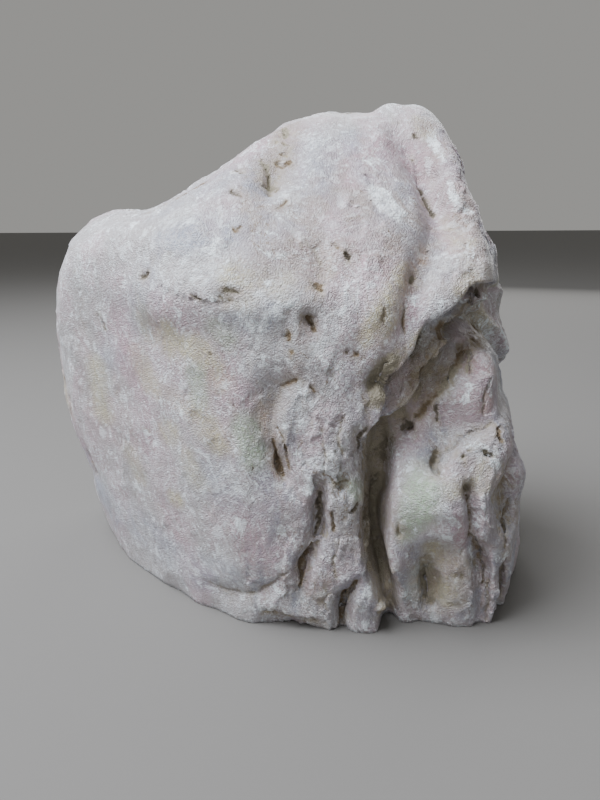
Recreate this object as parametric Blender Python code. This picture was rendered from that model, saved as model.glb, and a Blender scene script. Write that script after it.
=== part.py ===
"""A rough soapstone block for carving: one solid stone that stands on its flat sawn base.

Metres, +Z up. +X is the stone's right and +Y its back, so the front that is described first faces -Y.
The stone is a distance field: hewn faces meet in rounded edges, and ledges, cuts and lumps are
worked into it from the side that they show on. The zero surface of the field is the stone.
"""

from dataclasses import dataclass

import bmesh
import bpy
import numpy as np
from mathutils import Vector, noise

STONE_NAME = "soapstone_block"
STONE_COLOUR = (0.80, 0.74, 0.73, 1.0)
STONE_ROUGHNESS = 0.62

# The space that the field is sampled in, and its sample step
FIELD_LOW = np.array((-0.165, -0.105, -0.012))
FIELD_HIGH = np.array((0.150, 0.112, 0.262))
FIELD_STEP = 0.0025
# Ledges and cuts are worked out at the points that lie no deeper than this in the block
WORKED_DEPTH = 0.040

TRIANGLE_BUDGET = 9400
EDGE_ROUNDING = 0.0060

# Hewn faces of the block: outward direction, and a point on the face
HEWN_FACES = {
    "front": ((0.02, -1.00, 0.03), (0.020, -0.082, 0.060)),
    "front_left": ((-0.58, -0.81, -0.03), (-0.046, -0.058, 0.060)),
    "left_front": ((-0.74, -0.67, -0.10), (-0.088, -0.024, 0.040)),
    "left": ((-0.92, -0.30, -0.20), (-0.128, 0.040, 0.030)),
    "left_shoulder": ((-0.97, -0.15, 0.20), (-0.146, 0.040, 0.125)),
    "left_brow": ((-0.60, -0.12, 0.78), (-0.120, 0.040, 0.194)),
    "top_left": ((-0.42, -0.34, 0.84), (-0.060, 0.020, 0.212)),
    "top_front": ((0.05, -0.73, 0.68), (0.040, -0.080, 0.158)),
    "top": ((0.02, 0.10, 0.99), (0.050, 0.020, 0.252)),
    "right_shoulder": ((0.90, -0.15, 0.41), (0.098, 0.000, 0.232)),
    "right": ((0.99, -0.10, 0.04), (0.138, -0.010, 0.090)),
    "right_front": ((0.84, -0.54, 0.02), (0.126, -0.052, 0.010)),
    "back_low": ((0.16, 0.98, -0.10), (0.010, 0.082, 0.070)),
    "back_high": ((-0.08, 0.94, 0.33), (0.000, 0.080, 0.125)),
    "back_brow": ((0.18, 0.70, 0.69), (0.040, 0.048, 0.230)),
    "back_left": ((-0.52, 0.84, 0.14), (-0.100, 0.078, 0.060)),
    "left_back": ((-0.88, 0.46, 0.08), (-0.140, 0.056, 0.100)),
    "left_chip": ((-0.62, 0.52, 0.59), (-0.116, 0.056, 0.168)),
    "back_right": ((0.62, 0.77, 0.16), (0.104, 0.062, 0.080)),
    "right_chip": ((0.74, 0.48, 0.47), (0.100, 0.040, 0.190)),
}

# The stone's outline from the front, as x and z on the plane OUTLINE_Y. It widens with the distance from
# the eye point, so that it stays the same outline from there.
EYE = np.array((0.011, -0.330, 0.1847))
OUTLINE_Y = 0.040
OUTLINE_ROUNDING = 0.0030
OUTLINE = np.array((
    (-0.113, -0.110), (-0.113, -0.020), (-0.121, 0.014), (-0.121, 0.033), (-0.137, 0.083),
    (-0.139, 0.106), (-0.135, 0.130), (-0.130, 0.158), (-0.122, 0.176), (-0.109, 0.189),
    (-0.094, 0.194), (-0.075, 0.193), (-0.053, 0.204), (-0.031, 0.217), (-0.018, 0.228),
    (0.002, 0.239), (0.028, 0.244), (0.049, 0.242), (0.059, 0.247), (0.082, 0.245),
    (0.092, 0.237), (0.102, 0.215), (0.112, 0.190), (0.124, 0.168), (0.126, 0.150),
    (0.129, 0.145), (0.128, 0.135), (0.137, 0.110), (0.135, 0.086), (0.141, 0.056),
    (0.152, 0.030), (0.151, 0.013), (0.155, -0.030), (0.150, -0.060), (0.150, -0.110),
))

# The edge of the sawn base, as x and y. The sides flare a little from it as they rise.
FOOT = np.array((
    (-0.127, 0.055), (-0.104, 0.012), (-0.090, -0.012), (-0.067, -0.033), (-0.043, -0.053),
    (-0.018, -0.070), (0.014, -0.078), (0.030, -0.080), (0.049, -0.077), (0.054, -0.070),
    (0.068, -0.070), (0.083, -0.076), (0.098, -0.075), (0.114, -0.063), (0.121, -0.040),
    (0.132, -0.019), (0.136, 0.010), (0.124, 0.046), (0.100, 0.066), (0.056, 0.070),
    (0.018, 0.078), (-0.034, 0.074), (-0.080, 0.080), (-0.112, 0.074),
))
FOOT_FLARE = 0.24
FOOT_HEIGHT = 0.100

# The sides that ledges, cuts and lumps are worked from: the axes that run across and up the side, the
# axis that faces it, which way along that axis is outward, and where the side begins on it
SIDES = {
    "front": (0, 2, 1, -1, 0.005),
    "back": (0, 2, 1, 1, 0.005),
    "left": (1, 2, 0, -1, -0.060),
    "right": (1, 2, 0, 1, 0.070),
    "top": (0, 1, 2, 1, 0.140),
}
SIDE_BLEND = 0.010


@dataclass(frozen=True)
class Cut:
    """A groove along a path, or a pit where the path is one point.

    Each point of the path gives its place across and up the side, the half width and the depth.
    The floor is the share of the half width that is cut to the full depth. A cut with a lean slants:
    it moves that share of its depth across the side on its way in.
    """

    side: str
    path: tuple
    floor: float = 0.0
    lean: float = 0.0

    def margin(self):
        """How far from its path the cut is felt."""
        return max(point[2] for point in self.path)

    def depth_at(self, flat, inward):
        """How deep the cut is at points on its side that lie inward of the surface."""
        path = np.array(self.path)
        slant = np.outer(np.clip(inward, 0, None), (self.lean, 0))
        _, distance, _, along = nearest_on_path(flat - slant, path[:, :2])
        place = np.arange(len(path))
        half_width = np.interp(along, place, path[:, 2])
        depth = np.interp(along, place, path[:, 3])
        wall = smooth_step((distance / half_width - self.floor) / (1 - self.floor))
        return depth * (1 - wall)


@dataclass(frozen=True)
class Ledge:
    """A step along a path: the stone on the left of the path lies deeper, and rises again over the reach.

    Each point of the path gives its place across and up the side and the drop there.
    An undercut ledge leans over the stone below it.
    """

    side: str
    path: tuple
    reach: float
    undercut: float = 0.0
    lip: float = 0.0018

    def margin(self):
        """How far from its path the ledge is felt."""
        return self.reach

    def depth_at(self, flat, inward):
        """How deep the step is at points on its side that lie inward of the surface."""
        path = np.array(self.path)
        hand, distance, ends, along = nearest_on_path(flat, path[:, :2])
        drop = np.interp(along, np.arange(len(path)), path[:, 2])
        past = hand * distance + self.undercut * np.clip(inward, 0, None)
        rise = 1 - smooth_step(np.clip(past, 0, None) / self.reach)
        return drop * ends * rise * smooth_step(past / (2 * self.lip) + 0.5)


@dataclass(frozen=True)
class Lump:
    """A soft swelling, with its place across and up the side, its two half widths and its height."""

    side: str
    at: tuple
    size: tuple
    height: float

    def height_at(self, flat):
        """How far the lump stands out at points on its side."""
        away = np.linalg.norm((flat - np.array(self.at)) / np.array(self.size), axis=1)
        return self.height * (1 - smooth_step(away))


LEDGES = (
    # The overhang that crosses the front from the right edge down to the fissure
    Ledge("front", (
        (0.116, 0.150, 0.006), (0.096, 0.157, 0.008), (0.084, 0.158, 0.011), (0.076, 0.151, 0.012),
        (0.070, 0.146, 0.013), (0.062, 0.142, 0.014), (0.060, 0.136, 0.015), (0.058, 0.129, 0.015),
        (0.052, 0.124, 0.014), (0.050, 0.118, 0.014), (0.049, 0.109, 0.014), (0.045, 0.098, 0.014),
        (0.039, 0.092, 0.012), (0.036, 0.086, 0.005),
    ), reach=0.026, undercut=0.35),
    # The thinner sheet under it, over the crevice
    Ledge("front", (
        (0.106, 0.148, 0.003), (0.094, 0.145, 0.008), (0.086, 0.140, 0.011), (0.079, 0.136, 0.014),
        (0.075, 0.131, 0.016), (0.071, 0.124, 0.017), (0.067, 0.117, 0.016), (0.064, 0.110, 0.015),
        (0.059, 0.102, 0.014), (0.054, 0.098, 0.013), (0.048, 0.092, 0.011), (0.045, 0.086, 0.004),
    ), reach=0.038, undercut=0.40),
    # The rough rib right of the brown trough stands over it
    Ledge("front", (
        (0.012, 0.072, 0.000), (0.006, 0.080, 0.002), (0.003, 0.090, 0.003), (0.001, 0.100, 0.003),
        (0.001, 0.110, 0.003), (0.004, 0.118, 0.002), (0.010, 0.122, 0.001), (0.016, 0.124, 0.000),
    ), reach=0.018),
    # The left bank of the valley under the peak
    Ledge("front", (
        (0.058, 0.214, 0.001), (0.063, 0.203, 0.003), (0.066, 0.194, 0.004), (0.069, 0.186, 0.003),
        (0.070, 0.176, 0.001),
    ), reach=0.016, undercut=0.3),
    # The top of the lower right lobe stands out under the slab
    Ledge("front", (
        (0.062, 0.074, 0.003), (0.070, 0.081, 0.008), (0.076, 0.089, 0.009), (0.083, 0.094, 0.008),
        (0.092, 0.098, 0.006), (0.104, 0.102, 0.002),
    ), reach=0.022, lip=0.0028),
    Ledge("back", (
        (0.108, 0.152, 0.004), (0.074, 0.162, 0.010), (0.052, 0.146, 0.013), (0.010, 0.148, 0.012),
        (-0.014, 0.124, 0.012), (-0.050, 0.128, 0.009), (-0.070, 0.108, 0.006), (-0.096, 0.106, 0.002),
    ), reach=0.060, undercut=0.2),
    Ledge("back", (
        (0.034, 0.140, 0.002), (0.020, 0.112, 0.008), (0.030, 0.082, 0.011), (0.014, 0.050, 0.010),
        (0.022, 0.020, 0.006), (0.018, -0.010, 0.004),
    ), reach=0.050),
    Ledge("back", (
        (-0.070, 0.190, 0.002), (-0.034, 0.184, 0.007), (-0.006, 0.202, 0.008), (0.030, 0.192, 0.006),
        (0.064, 0.206, 0.002),
    ), reach=0.040),
    Ledge("right", (
        (0.054, 0.092, 0.002), (0.030, 0.104, 0.006), (0.010, 0.116, 0.009), (-0.016, 0.138, 0.009),
        (-0.040, 0.148, 0.008), (-0.062, 0.150, 0.006),
    ), reach=0.044, undercut=0.2),
    Ledge("right", (
        (0.012, 0.108, 0.002), (0.002, 0.080, 0.007), (0.016, 0.048, 0.008), (0.006, 0.010, 0.005),
    ), reach=0.044),
    Ledge("left", (
        (0.004, 0.166, 0.001), (0.026, 0.138, 0.007), (0.020, 0.104, 0.008), (0.036, 0.070, 0.007),
        (0.030, 0.026, 0.003),
    ), reach=0.044),
)

CUTS = (
    # The fissure from the crevice down to the base, with broken stone at its foot
    Cut("front", (
        (0.0440, 0.096, 0.0055, 0.008), (0.0435, 0.084, 0.0074, 0.018), (0.0435, 0.070, 0.0072, 0.024),
        (0.0425, 0.058, 0.0060, 0.026), (0.0432, 0.046, 0.0058, 0.025), (0.0450, 0.036, 0.0060, 0.024),
        (0.0485, 0.026, 0.0066, 0.020), (0.0505, 0.016, 0.0068, 0.010), (0.0530, -0.012, 0.0068, 0.006),
    ), floor=0.5, lean=0.12),
    # The pocket in the overhang, and the hole at its upper end
    Cut("front", ((0.0470, 0.1290, 0.0050, 0.005), (0.0430, 0.1200, 0.0066, 0.010)), floor=0.2),
    Cut("front", ((0.0840, 0.1570, 0.0032, 0.006),)),
    # The valley that runs down from the peak
    Cut("front", (
        (0.054, 0.232, 0.010, 0.002), (0.060, 0.218, 0.011, 0.004), (0.067, 0.204, 0.011, 0.005),
        (0.070, 0.192, 0.010, 0.005), (0.070, 0.180, 0.010, 0.004), (0.063, 0.168, 0.010, 0.004),
        (0.056, 0.156, 0.009, 0.004), (0.052, 0.142, 0.008, 0.002),
    )),
    # The brown trough on the left, and its deeper end
    Cut("front", (
        (0.010, 0.122, 0.006, 0.001), (0.000, 0.117, 0.008, 0.002), (-0.004, 0.106, 0.009, 0.003),
        (-0.003, 0.096, 0.008, 0.003), (0.001, 0.086, 0.0045, 0.006), (0.004, 0.078, 0.004, 0.004),
    )),
    # Cracks and pits of the rough rib between the trough and the fissure
    Cut("front", (
        (0.0192, 0.078, 0.0034, 0.003), (0.0182, 0.066, 0.0046, 0.010), (0.0182, 0.055, 0.0042, 0.008),
        (0.0160, 0.045, 0.0042, 0.005), (0.0110, 0.036, 0.0044, 0.008), (0.0110, 0.028, 0.0042, 0.005),
        (0.0090, 0.012, 0.0042, 0.003),
    )),
    Cut("front", ((0.0275, 0.0770, 0.0046, 0.006),), floor=0.1),
    Cut("front", ((0.0358, 0.1000, 0.0042, 0.004), (0.0350, 0.0880, 0.0042, 0.004))),
    Cut("front", (
        (0.0370, 0.030, 0.0036, 0.004), (0.0310, 0.021, 0.0044, 0.009), (0.0298, 0.012, 0.0044, 0.009),
        (0.0298, -0.006, 0.0044, 0.006),
    )),
    Cut("front", ((-0.008, 0.001, 0.006, 0.002), (0.006, 0.0, 0.007, 0.004), (0.018, -0.001, 0.006, 0.002))),
    # The soft crease low on the front
    Cut("front", (
        (-0.035, 0.016, 0.006, 0.001), (-0.025, 0.014, 0.007, 0.002), (-0.012, 0.017, 0.008, 0.0025),
        (-0.002, 0.024, 0.007, 0.002), (0.006, 0.031, 0.006, 0.001),
    )),
    # The lobe: its split, pits, side trough, notch and the arch over the notch
    Cut("front", (
        (0.0825, 0.075, 0.0046, 0.009), (0.0850, 0.062, 0.0044, 0.006), (0.0862, 0.050, 0.0044, 0.005),
        (0.0905, 0.042, 0.0044, 0.006), (0.0935, 0.032, 0.0048, 0.009), (0.0950, 0.022, 0.0046, 0.006),
        (0.0960, -0.004, 0.0044, 0.004),
    )),
    Cut("front", ((0.0695, 0.0820, 0.0044, 0.006), (0.0735, 0.0880, 0.0040, 0.004))),
    Cut("front", ((0.101, 0.082, 0.008, 0.005), (0.100, 0.070, 0.010, 0.009), (0.104, 0.054, 0.008, 0.005))),
    Cut("front", (
        (0.0680, 0.035, 0.0050, 0.004), (0.0700, 0.024, 0.0054, 0.011), (0.0715, 0.012, 0.0044, 0.006),
    ), floor=0.2),
    Cut("front", ((0.0720, 0.0420, 0.0150, 0.005),)),
    Cut("front", ((0.1060, 0.028, 0.0046, 0.005), (0.1080, -0.004, 0.0046, 0.005))),
    # Slits and dirt pockets in the slab above the lobe
    Cut("front", ((0.0810, 0.1320, 0.0038, 0.006), (0.0812, 0.1250, 0.0036, 0.005))),
    Cut("front", ((0.0573, 0.1000, 0.0042, 0.006),)),
    # Small pits on the brow and the face
    Cut("front", ((0.014, 0.179, 0.005, 0.001), (0.019, 0.171, 0.006, 0.002), (0.0235, 0.163, 0.005, 0.001))),
    Cut("front", ((0.0142, 0.1480, 0.0044, 0.005), (0.0160, 0.1420, 0.0040, 0.003))),
    Cut("front", ((-0.0220, 0.156, 0.0040, 0.003), (-0.0140, 0.157, 0.0038, 0.002))),
    # The hollow with its pits on the slope left of the peak
    Cut("top", ((0.001, -0.034, 0.020, 0.005),)),
    Cut("top", ((-0.0010, -0.0300, 0.0040, 0.004), (-0.0020, -0.0390, 0.0038, 0.003))),
    Cut("top", ((0.0036, -0.0080, 0.0045, 0.004),)),
    Cut("top", ((-0.052, 0.004, 0.012, 0.002), (-0.070, 0.02, 0.016, 0.003), (-0.074, 0.044, 0.012, 0.002))),
    Cut("back", (
        (-0.052, 0.128, 0.004, 0.003), (-0.046, 0.096, 0.006, 0.010), (-0.052, 0.060, 0.006, 0.012),
        (-0.044, 0.024, 0.006, 0.008), (-0.047, -0.010, 0.005, 0.004),
    ), floor=0.2),
    Cut("back", ((0.062, 0.196, 0.034, 0.007),)),
    Cut("back", ((-0.092, 0.056, 0.026, 0.006),)),
    Cut("back", ((0.074, 0.064, 0.030, 0.006),)),
    Cut("back", ((0.088, 0.120, 0.0046, 0.005), (0.082, 0.112, 0.0046, 0.005))),
    Cut("right", ((-0.016, 0.190, 0.024, 0.005),)),
    Cut("right", ((-0.012, 0.096, 0.005, 0.002), (-0.018, 0.066, 0.006, 0.007), (-0.012, 0.036, 0.005, 0.003))),
    Cut("left", ((0.056, 0.112, 0.022, 0.006),)),
    Cut("left", ((0.050, 0.052, 0.004, 0.002), (0.056, 0.034, 0.005, 0.006), (0.052, 0.010, 0.004, 0.003))),
)

LUMPS = (
    # The buttress between the two valleys of the front, and the right crest
    Lump("front", (0.046, 0.186), (0.026, 0.044), 0.004),
    Lump("front", (0.084, 0.206), (0.016, 0.034), 0.003),
    Lump("front", (0.088, 0.172), (0.015, 0.018), 0.003),
    Lump("front", (0.046, 0.150), (0.020, 0.018), 0.004),
    # The lobe and the rib beside the fissure
    Lump("front", (0.072, 0.064), (0.024, 0.040), 0.008),
    Lump("front", (0.093, 0.066), (0.012, 0.034), 0.005),
    Lump("front", (0.112, 0.072), (0.012, 0.030), 0.004),
    Lump("front", (0.096, 0.118), (0.024, 0.022), 0.003),
    Lump("front", (0.026, 0.086), (0.020, 0.050), 0.004),
    Lump("front", (0.034, 0.030), (0.016, 0.030), 0.002),
    # The swell of the face on the left and its brow
    Lump("front", (-0.036, 0.086), (0.046, 0.070), 0.004),
    Lump("front", (-0.040, 0.154), (0.050, 0.018), 0.004),
    Lump("front", (0.004, 0.152), (0.020, 0.016), 0.003),
    Lump("front", (-0.096, 0.080), (0.030, 0.060), 0.003),
    Lump("top", (-0.100, 0.030), (0.026, 0.034), 0.005),
    Lump("back", (-0.020, 0.170), (0.044, 0.030), 0.005),
    Lump("back", (0.060, 0.110), (0.040, 0.030), 0.005),
    Lump("back", (-0.080, 0.150), (0.036, 0.030), 0.006),
)

# Relief that is spread over the whole stone: how far it moves the surface, and the size of its swellings
# across the stone. The stone's grain runs upward, so they are longer in height.
SWELL_HEIGHT = 0.0022
SWELL_SIZE = 0.042
GRAIN_STRETCH = 1.5
CHIP_HEIGHT = 0.0016
CHIP_SIZE = 0.017
# The front's left half is the smoothest part: the chips start here, with this share of their height,
# and stand full from there on
CHIPS_FROM = -0.050
CHIPS_FULL = 0.010
CHIPS_LEAST = 0.35


def unit(direction):
    """The direction at length 1."""
    direction = np.asarray(direction, float)
    return direction / np.linalg.norm(direction)


def smooth_step(value):
    """0 below 0, 1 above 1, and a smooth rise between them."""
    value = np.clip(value, 0, 1)
    return value * value * (3 - 2 * value)


def smooth_max(values, rounding):
    """The largest of the values, blended where two are within the rounding of each other."""
    top = np.maximum.reduce(values)
    total = sum(np.exp((value - top) / rounding) for value in values)
    return top + rounding * np.log(total)


def polygon_distance(points, corners):
    """Signed distance from points in a plane to a polygon, negative inside it."""
    nearest = np.full(len(points), np.inf)
    inside = np.zeros(len(points), bool)
    for start, end in zip(corners, np.roll(corners, -1, axis=0)):
        edge = end - start
        offset = points - start
        along = np.clip(offset @ edge / (edge @ edge), 0, 1)
        nearest = np.minimum(nearest, ((offset - along[:, None] * edge) ** 2).sum(axis=1))
        crosses = (start[1] > points[:, 1]) != (end[1] > points[:, 1])
        side = edge[0] * offset[:, 1] - edge[1] * offset[:, 0]
        inside ^= crosses & ((side > 0) == (edge[1] > 0))
    return np.sqrt(nearest) * np.where(inside, -1, 1)


def nearest_on_path(points, path):
    """Where points in a plane lie by a path.

    Gives for each point its hand (1 on the left of the path, -1 on the right), its distance, how fully it
    is beside the path rather than past an end, and its place along the path in path points.
    """
    distance = np.full(len(points), np.inf)
    hand = np.ones(len(points))
    place = np.zeros(len(points))
    ends = np.ones(len(points))
    if len(path) == 1:
        return hand, np.linalg.norm(points - path[0], axis=1), ends, place
    for index, (start, end) in enumerate(zip(path[:-1], path[1:])):
        edge = end - start
        offset = points - start
        free = offset @ edge / (edge @ edge)
        along = np.clip(free, 0, 1)
        away = np.linalg.norm(offset - along[:, None] * edge, axis=1)
        nearer = away < distance
        past = np.abs(free - along) * np.linalg.norm(edge)
        at_end = ((free < 0) & (index == 0)) | ((free > 1) & (index == len(path) - 2))
        distance = np.where(nearer, away, distance)
        place = np.where(nearer, index + along, place)
        hand = np.where(nearer, np.sign(edge[0] * offset[:, 1] - edge[1] * offset[:, 0]), hand)
        ends = np.where(nearer, np.where(at_end, 1 - smooth_step(past / SIDE_BLEND), 1), ends)
    return hand, distance, ends, place


def side_view(points, side):
    """The points as seen from a side, flat, and how fully each of them belongs to that side."""
    across, up, axis, outward, start = SIDES[side]
    share = smooth_step(0.5 + (points[:, axis] - start) * outward / SIDE_BLEND)
    return points[:, [across, up]], share


def worked_depth(points, inward, feature):
    """How deep a ledge or a cut goes at the points, where inward is how deep they lie in the block."""
    flat, share = side_view(points, feature.side)
    path = np.array(feature.path)[:, :2]
    low, high = path.min(axis=0) - feature.margin(), path.max(axis=0) + feature.margin()
    near = (share > 0) & (flat > low).all(axis=1) & (flat < high).all(axis=1)
    depth = np.zeros(len(points))
    depth[near] = share[near] * feature.depth_at(flat[near], inward[near])
    return depth


def hewn_block(points):
    """Distance to the block's hewn faces, which meet in rounded edges."""
    distances = [(points - np.array(at)) @ unit(out) for out, at in HEWN_FACES.values()]
    return smooth_max(distances, EDGE_ROUNDING)


def front_outline(points):
    """Distance to the sides that give the stone its outline from the front."""
    scale = (OUTLINE_Y - EYE[1]) / (points[:, 1] - EYE[1])
    flat = EYE[[0, 2]] + (points - EYE)[:, [0, 2]] * scale[:, None]
    return polygon_distance(flat, OUTLINE) / scale


def foot_outline(points):
    """Distance to the sides that rise from the edge of the base."""
    flare = FOOT_FLARE * np.clip(points[:, 2], 0, FOOT_HEIGHT)
    return polygon_distance(points[:, :2], FOOT) - flare


def stone_field(points):
    """Negative inside the stone and positive outside it."""
    block = hewn_block(points)
    for lump in LUMPS:
        flat, share = side_view(points, lump.side)
        block -= share * lump.height_at(flat)
    field = smooth_max([block, front_outline(points), foot_outline(points)], OUTLINE_ROUNDING)
    near = (field > -WORKED_DEPTH) & (field < 2 * FIELD_STEP)
    worked, inward = points[near], -field[near]
    for feature in LEDGES + CUTS:
        field[near] += worked_depth(worked, inward, feature)
    return field


def sample_field():
    """The field's values on its grid, whose outer layer is empty space, so that the surface closes."""
    counts = np.ceil((FIELD_HIGH - FIELD_LOW) / FIELD_STEP).astype(int) + 1
    grid = np.moveaxis(np.indices(counts - 2), 0, -1).reshape(-1, 3) + 1
    values = stone_field(FIELD_LOW + grid * FIELD_STEP).reshape(counts - 2)
    return np.pad(values, 1, constant_values=FIELD_STEP)


def fill_pinches(values):
    """Fills the grid where two bits of stone would meet in no more than an edge, until none do."""
    pinched = np.ones(1, bool)
    while pinched.any():
        filled = np.zeros(values.shape, bool)
        for first, second in ((0, 1), (1, 2), (2, 0)):
            here = values < 0
            beside = np.roll(here, -1, first)
            above = np.roll(here, -1, second)
            opposite = np.roll(beside, -1, second)
            pinched = (here == opposite) & (beside == above) & (here != beside)
            for steps in np.ndindex(2, 2):
                filled |= np.roll(pinched, steps, (first, second))
        pinched = filled & (values >= 0)
        values = np.where(pinched, -0.1 * FIELD_STEP, values)
    return values


def surface_net(values):
    """Points and quads of the field's zero surface.

    Every grid cell that the surface crosses gets one point, the mean of where it crosses the cell's edges,
    and every grid edge that it crosses gets one quad, between the four cells around that edge.
    """
    counts = np.array(values.shape)
    inside = values < 0
    cell_sums = np.zeros((values.size, 3))
    cell_hits = np.zeros(values.size)
    quads = []
    for axis in range(3):
        low = [slice(None)] * 3
        high = [slice(None)] * 3
        low[axis] = slice(0, -1)
        high[axis] = slice(1, None)
        crossed = np.argwhere(inside[tuple(low)] != inside[tuple(high)])
        step = np.eye(3, dtype=int)[axis]
        first = values[tuple(crossed.T)]
        second = values[tuple((crossed + step).T)]
        hits = crossed + step * (first / (first - second))[:, None]
        side_a, side_b = np.eye(3, dtype=int)[(axis + 1) % 3], np.eye(3, dtype=int)[(axis + 2) % 3]
        around = [crossed - side_a - side_b, crossed - side_b, crossed, crossed - side_a]
        cells = np.stack([np.ravel_multi_index(cell.T, counts) for cell in around], axis=1)
        for column in cells.T:
            np.add.at(cell_sums, column, hits)
            np.add.at(cell_hits, column, 1)
        quads.append(np.where((first < 0)[:, None], cells, cells[:, ::-1]))
    used, quads = np.unique(np.concatenate(quads), return_inverse=True)
    points = FIELD_LOW + FIELD_STEP * cell_sums[used] / cell_hits[used, None]
    return points, quads.reshape(-1, 4)


def stone_object():
    """The stone as one closed mesh object that reaches a little below z = 0."""
    points, quads = surface_net(fill_pinches(sample_field()))
    mesh = bpy.data.meshes.new(STONE_NAME)
    mesh.from_pydata(points.tolist(), [], quads.tolist())
    stone = bpy.data.objects.new(STONE_NAME, mesh)
    bpy.context.scene.collection.objects.link(stone)
    return stone


def connected_parts(body):
    """The vertices of each connected part of the surface, smallest part first."""
    unseen = set(body.verts)
    parts = []
    while unseen:
        part = [unseen.pop()]
        for vertex in part:
            joined = {edge.other_vert(vertex) for edge in vertex.link_edges} & unseen
            unseen -= joined
            part.extend(joined)
        parts.append(part)
    return sorted(parts, key=len)


def drop_crumbs(mesh):
    """Keeps the stone's one surface, without the crumbs and bubbles that deep cuts leave beside it."""
    body = bmesh.new()
    body.from_mesh(mesh)
    for part in connected_parts(body)[:-1]:
        bmesh.ops.delete(body, geom=part, context="VERTS")
    body.to_mesh(mesh)
    body.free()


def roughen(mesh):
    """Moves the surface in and out by soft swellings and by the flatter chips of broken stone."""
    grain = Vector((1, 1, 1 / GRAIN_STRETCH))
    moved = []
    for vertex in mesh.vertices:
        place = vertex.co * grain
        swell = noise.noise(place / SWELL_SIZE) + 0.5 * noise.noise(place / SWELL_SIZE * 2.1)
        (near, far, _, _), _ = noise.voronoi(place / CHIP_SIZE)
        full = smooth_step((vertex.co.x - CHIPS_FROM) / (CHIPS_FULL - CHIPS_FROM))
        chips = CHIP_HEIGHT * (CHIPS_LEAST + (1 - CHIPS_LEAST) * full)
        out = SWELL_HEIGHT * swell + chips * (min(far - near, 0.6) - 0.3)
        moved.append(vertex.co + vertex.normal * out)
    for vertex, place in zip(mesh.vertices, moved):
        vertex.co = place


def decimated_mesh(stone):
    """The stone's mesh within the triangle budget, with small triangles kept where its shape needs them."""
    faces = len(stone.data.polygons)
    decimate = stone.modifiers.new("Fewer triangles", "DECIMATE")
    decimate.ratio = TRIANGLE_BUDGET / (2 * faces)
    graph = bpy.context.evaluated_depsgraph_get()
    mesh = bpy.data.meshes.new_from_object(stone.evaluated_get(graph))
    stone.modifiers.remove(decimate)
    return mesh


def cut_base(mesh):
    """Cuts the stone off at z = 0 and closes the cut with one flat face."""
    body = bmesh.new()
    body.from_mesh(mesh)
    everything = body.verts[:] + body.edges[:] + body.faces[:]
    bmesh.ops.bisect_plane(
        body, geom=everything, plane_co=(0, 0, 0), plane_no=(0, 0, 1), clear_inner=True
    )
    rim = [edge for edge in body.edges if edge.is_boundary]
    bmesh.ops.edgeloop_fill(body, edges=rim)
    bmesh.ops.recalc_face_normals(body, faces=body.faces)
    body.to_mesh(mesh)
    body.free()


def centre(mesh):
    """Moves the stone so that the middle of its extent across and back is at x = 0 and y = 0."""
    places = np.array([vertex.co for vertex in mesh.vertices])
    middle = (places.min(axis=0) + places.max(axis=0)) / 2
    shift = Vector((-middle[0], -middle[1], 0))
    for vertex in mesh.vertices:
        vertex.co += shift


def soapstone():
    """The stone's pale material."""
    material = bpy.data.materials.new("soapstone")
    material.use_nodes = True
    shader = material.node_tree.nodes["Principled BSDF"]
    shader.inputs["Base Color"].default_value = STONE_COLOUR
    shader.inputs["Roughness"].default_value = STONE_ROUGHNESS
    shader.inputs["Metallic"].default_value = 0.0
    return material


def main():
    for old in list(bpy.data.objects):
        bpy.data.objects.remove(old)
    stone = stone_object()
    drop_crumbs(stone.data)
    roughen(stone.data)
    stone.data = decimated_mesh(stone)
    cut_base(stone.data)
    centre(stone.data)
    stone.data.materials.append(soapstone())


main()
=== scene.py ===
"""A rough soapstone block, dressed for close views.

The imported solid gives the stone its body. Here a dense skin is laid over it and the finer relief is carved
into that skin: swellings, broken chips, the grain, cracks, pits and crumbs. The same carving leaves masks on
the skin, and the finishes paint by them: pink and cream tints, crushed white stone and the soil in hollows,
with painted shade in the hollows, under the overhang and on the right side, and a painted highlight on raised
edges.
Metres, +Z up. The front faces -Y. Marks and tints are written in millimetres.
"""

import logging
import math
from dataclasses import dataclass, field
from enum import Enum

import bmesh
import bpy
import numpy as np
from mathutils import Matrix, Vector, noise


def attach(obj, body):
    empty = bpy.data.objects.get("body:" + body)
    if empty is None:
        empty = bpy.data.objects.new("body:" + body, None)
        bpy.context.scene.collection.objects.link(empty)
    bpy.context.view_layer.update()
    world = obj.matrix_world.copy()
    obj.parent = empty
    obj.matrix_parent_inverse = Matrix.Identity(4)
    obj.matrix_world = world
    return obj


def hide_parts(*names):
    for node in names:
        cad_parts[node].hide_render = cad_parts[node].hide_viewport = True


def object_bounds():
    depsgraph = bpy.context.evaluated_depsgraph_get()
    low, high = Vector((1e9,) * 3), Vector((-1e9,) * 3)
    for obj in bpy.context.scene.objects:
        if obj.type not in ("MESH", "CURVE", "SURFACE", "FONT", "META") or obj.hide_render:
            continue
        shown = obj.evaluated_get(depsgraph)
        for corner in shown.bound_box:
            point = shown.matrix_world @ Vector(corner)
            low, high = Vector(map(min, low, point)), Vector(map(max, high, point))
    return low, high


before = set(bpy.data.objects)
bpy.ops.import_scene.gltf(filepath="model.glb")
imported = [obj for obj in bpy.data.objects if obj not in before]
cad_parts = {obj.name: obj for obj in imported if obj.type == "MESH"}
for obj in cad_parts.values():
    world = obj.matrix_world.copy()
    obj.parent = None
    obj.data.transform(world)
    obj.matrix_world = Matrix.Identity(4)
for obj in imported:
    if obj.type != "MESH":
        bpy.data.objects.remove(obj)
CAD_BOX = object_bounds()

LOG = logging.getLogger("soapstone")
STONE_NODE = "soapstone_block"
NUMBER = "NodeSocketFloat"
COLOUR = "NodeSocketColor"
MM = 0.001
TINY = 1e-12


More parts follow.
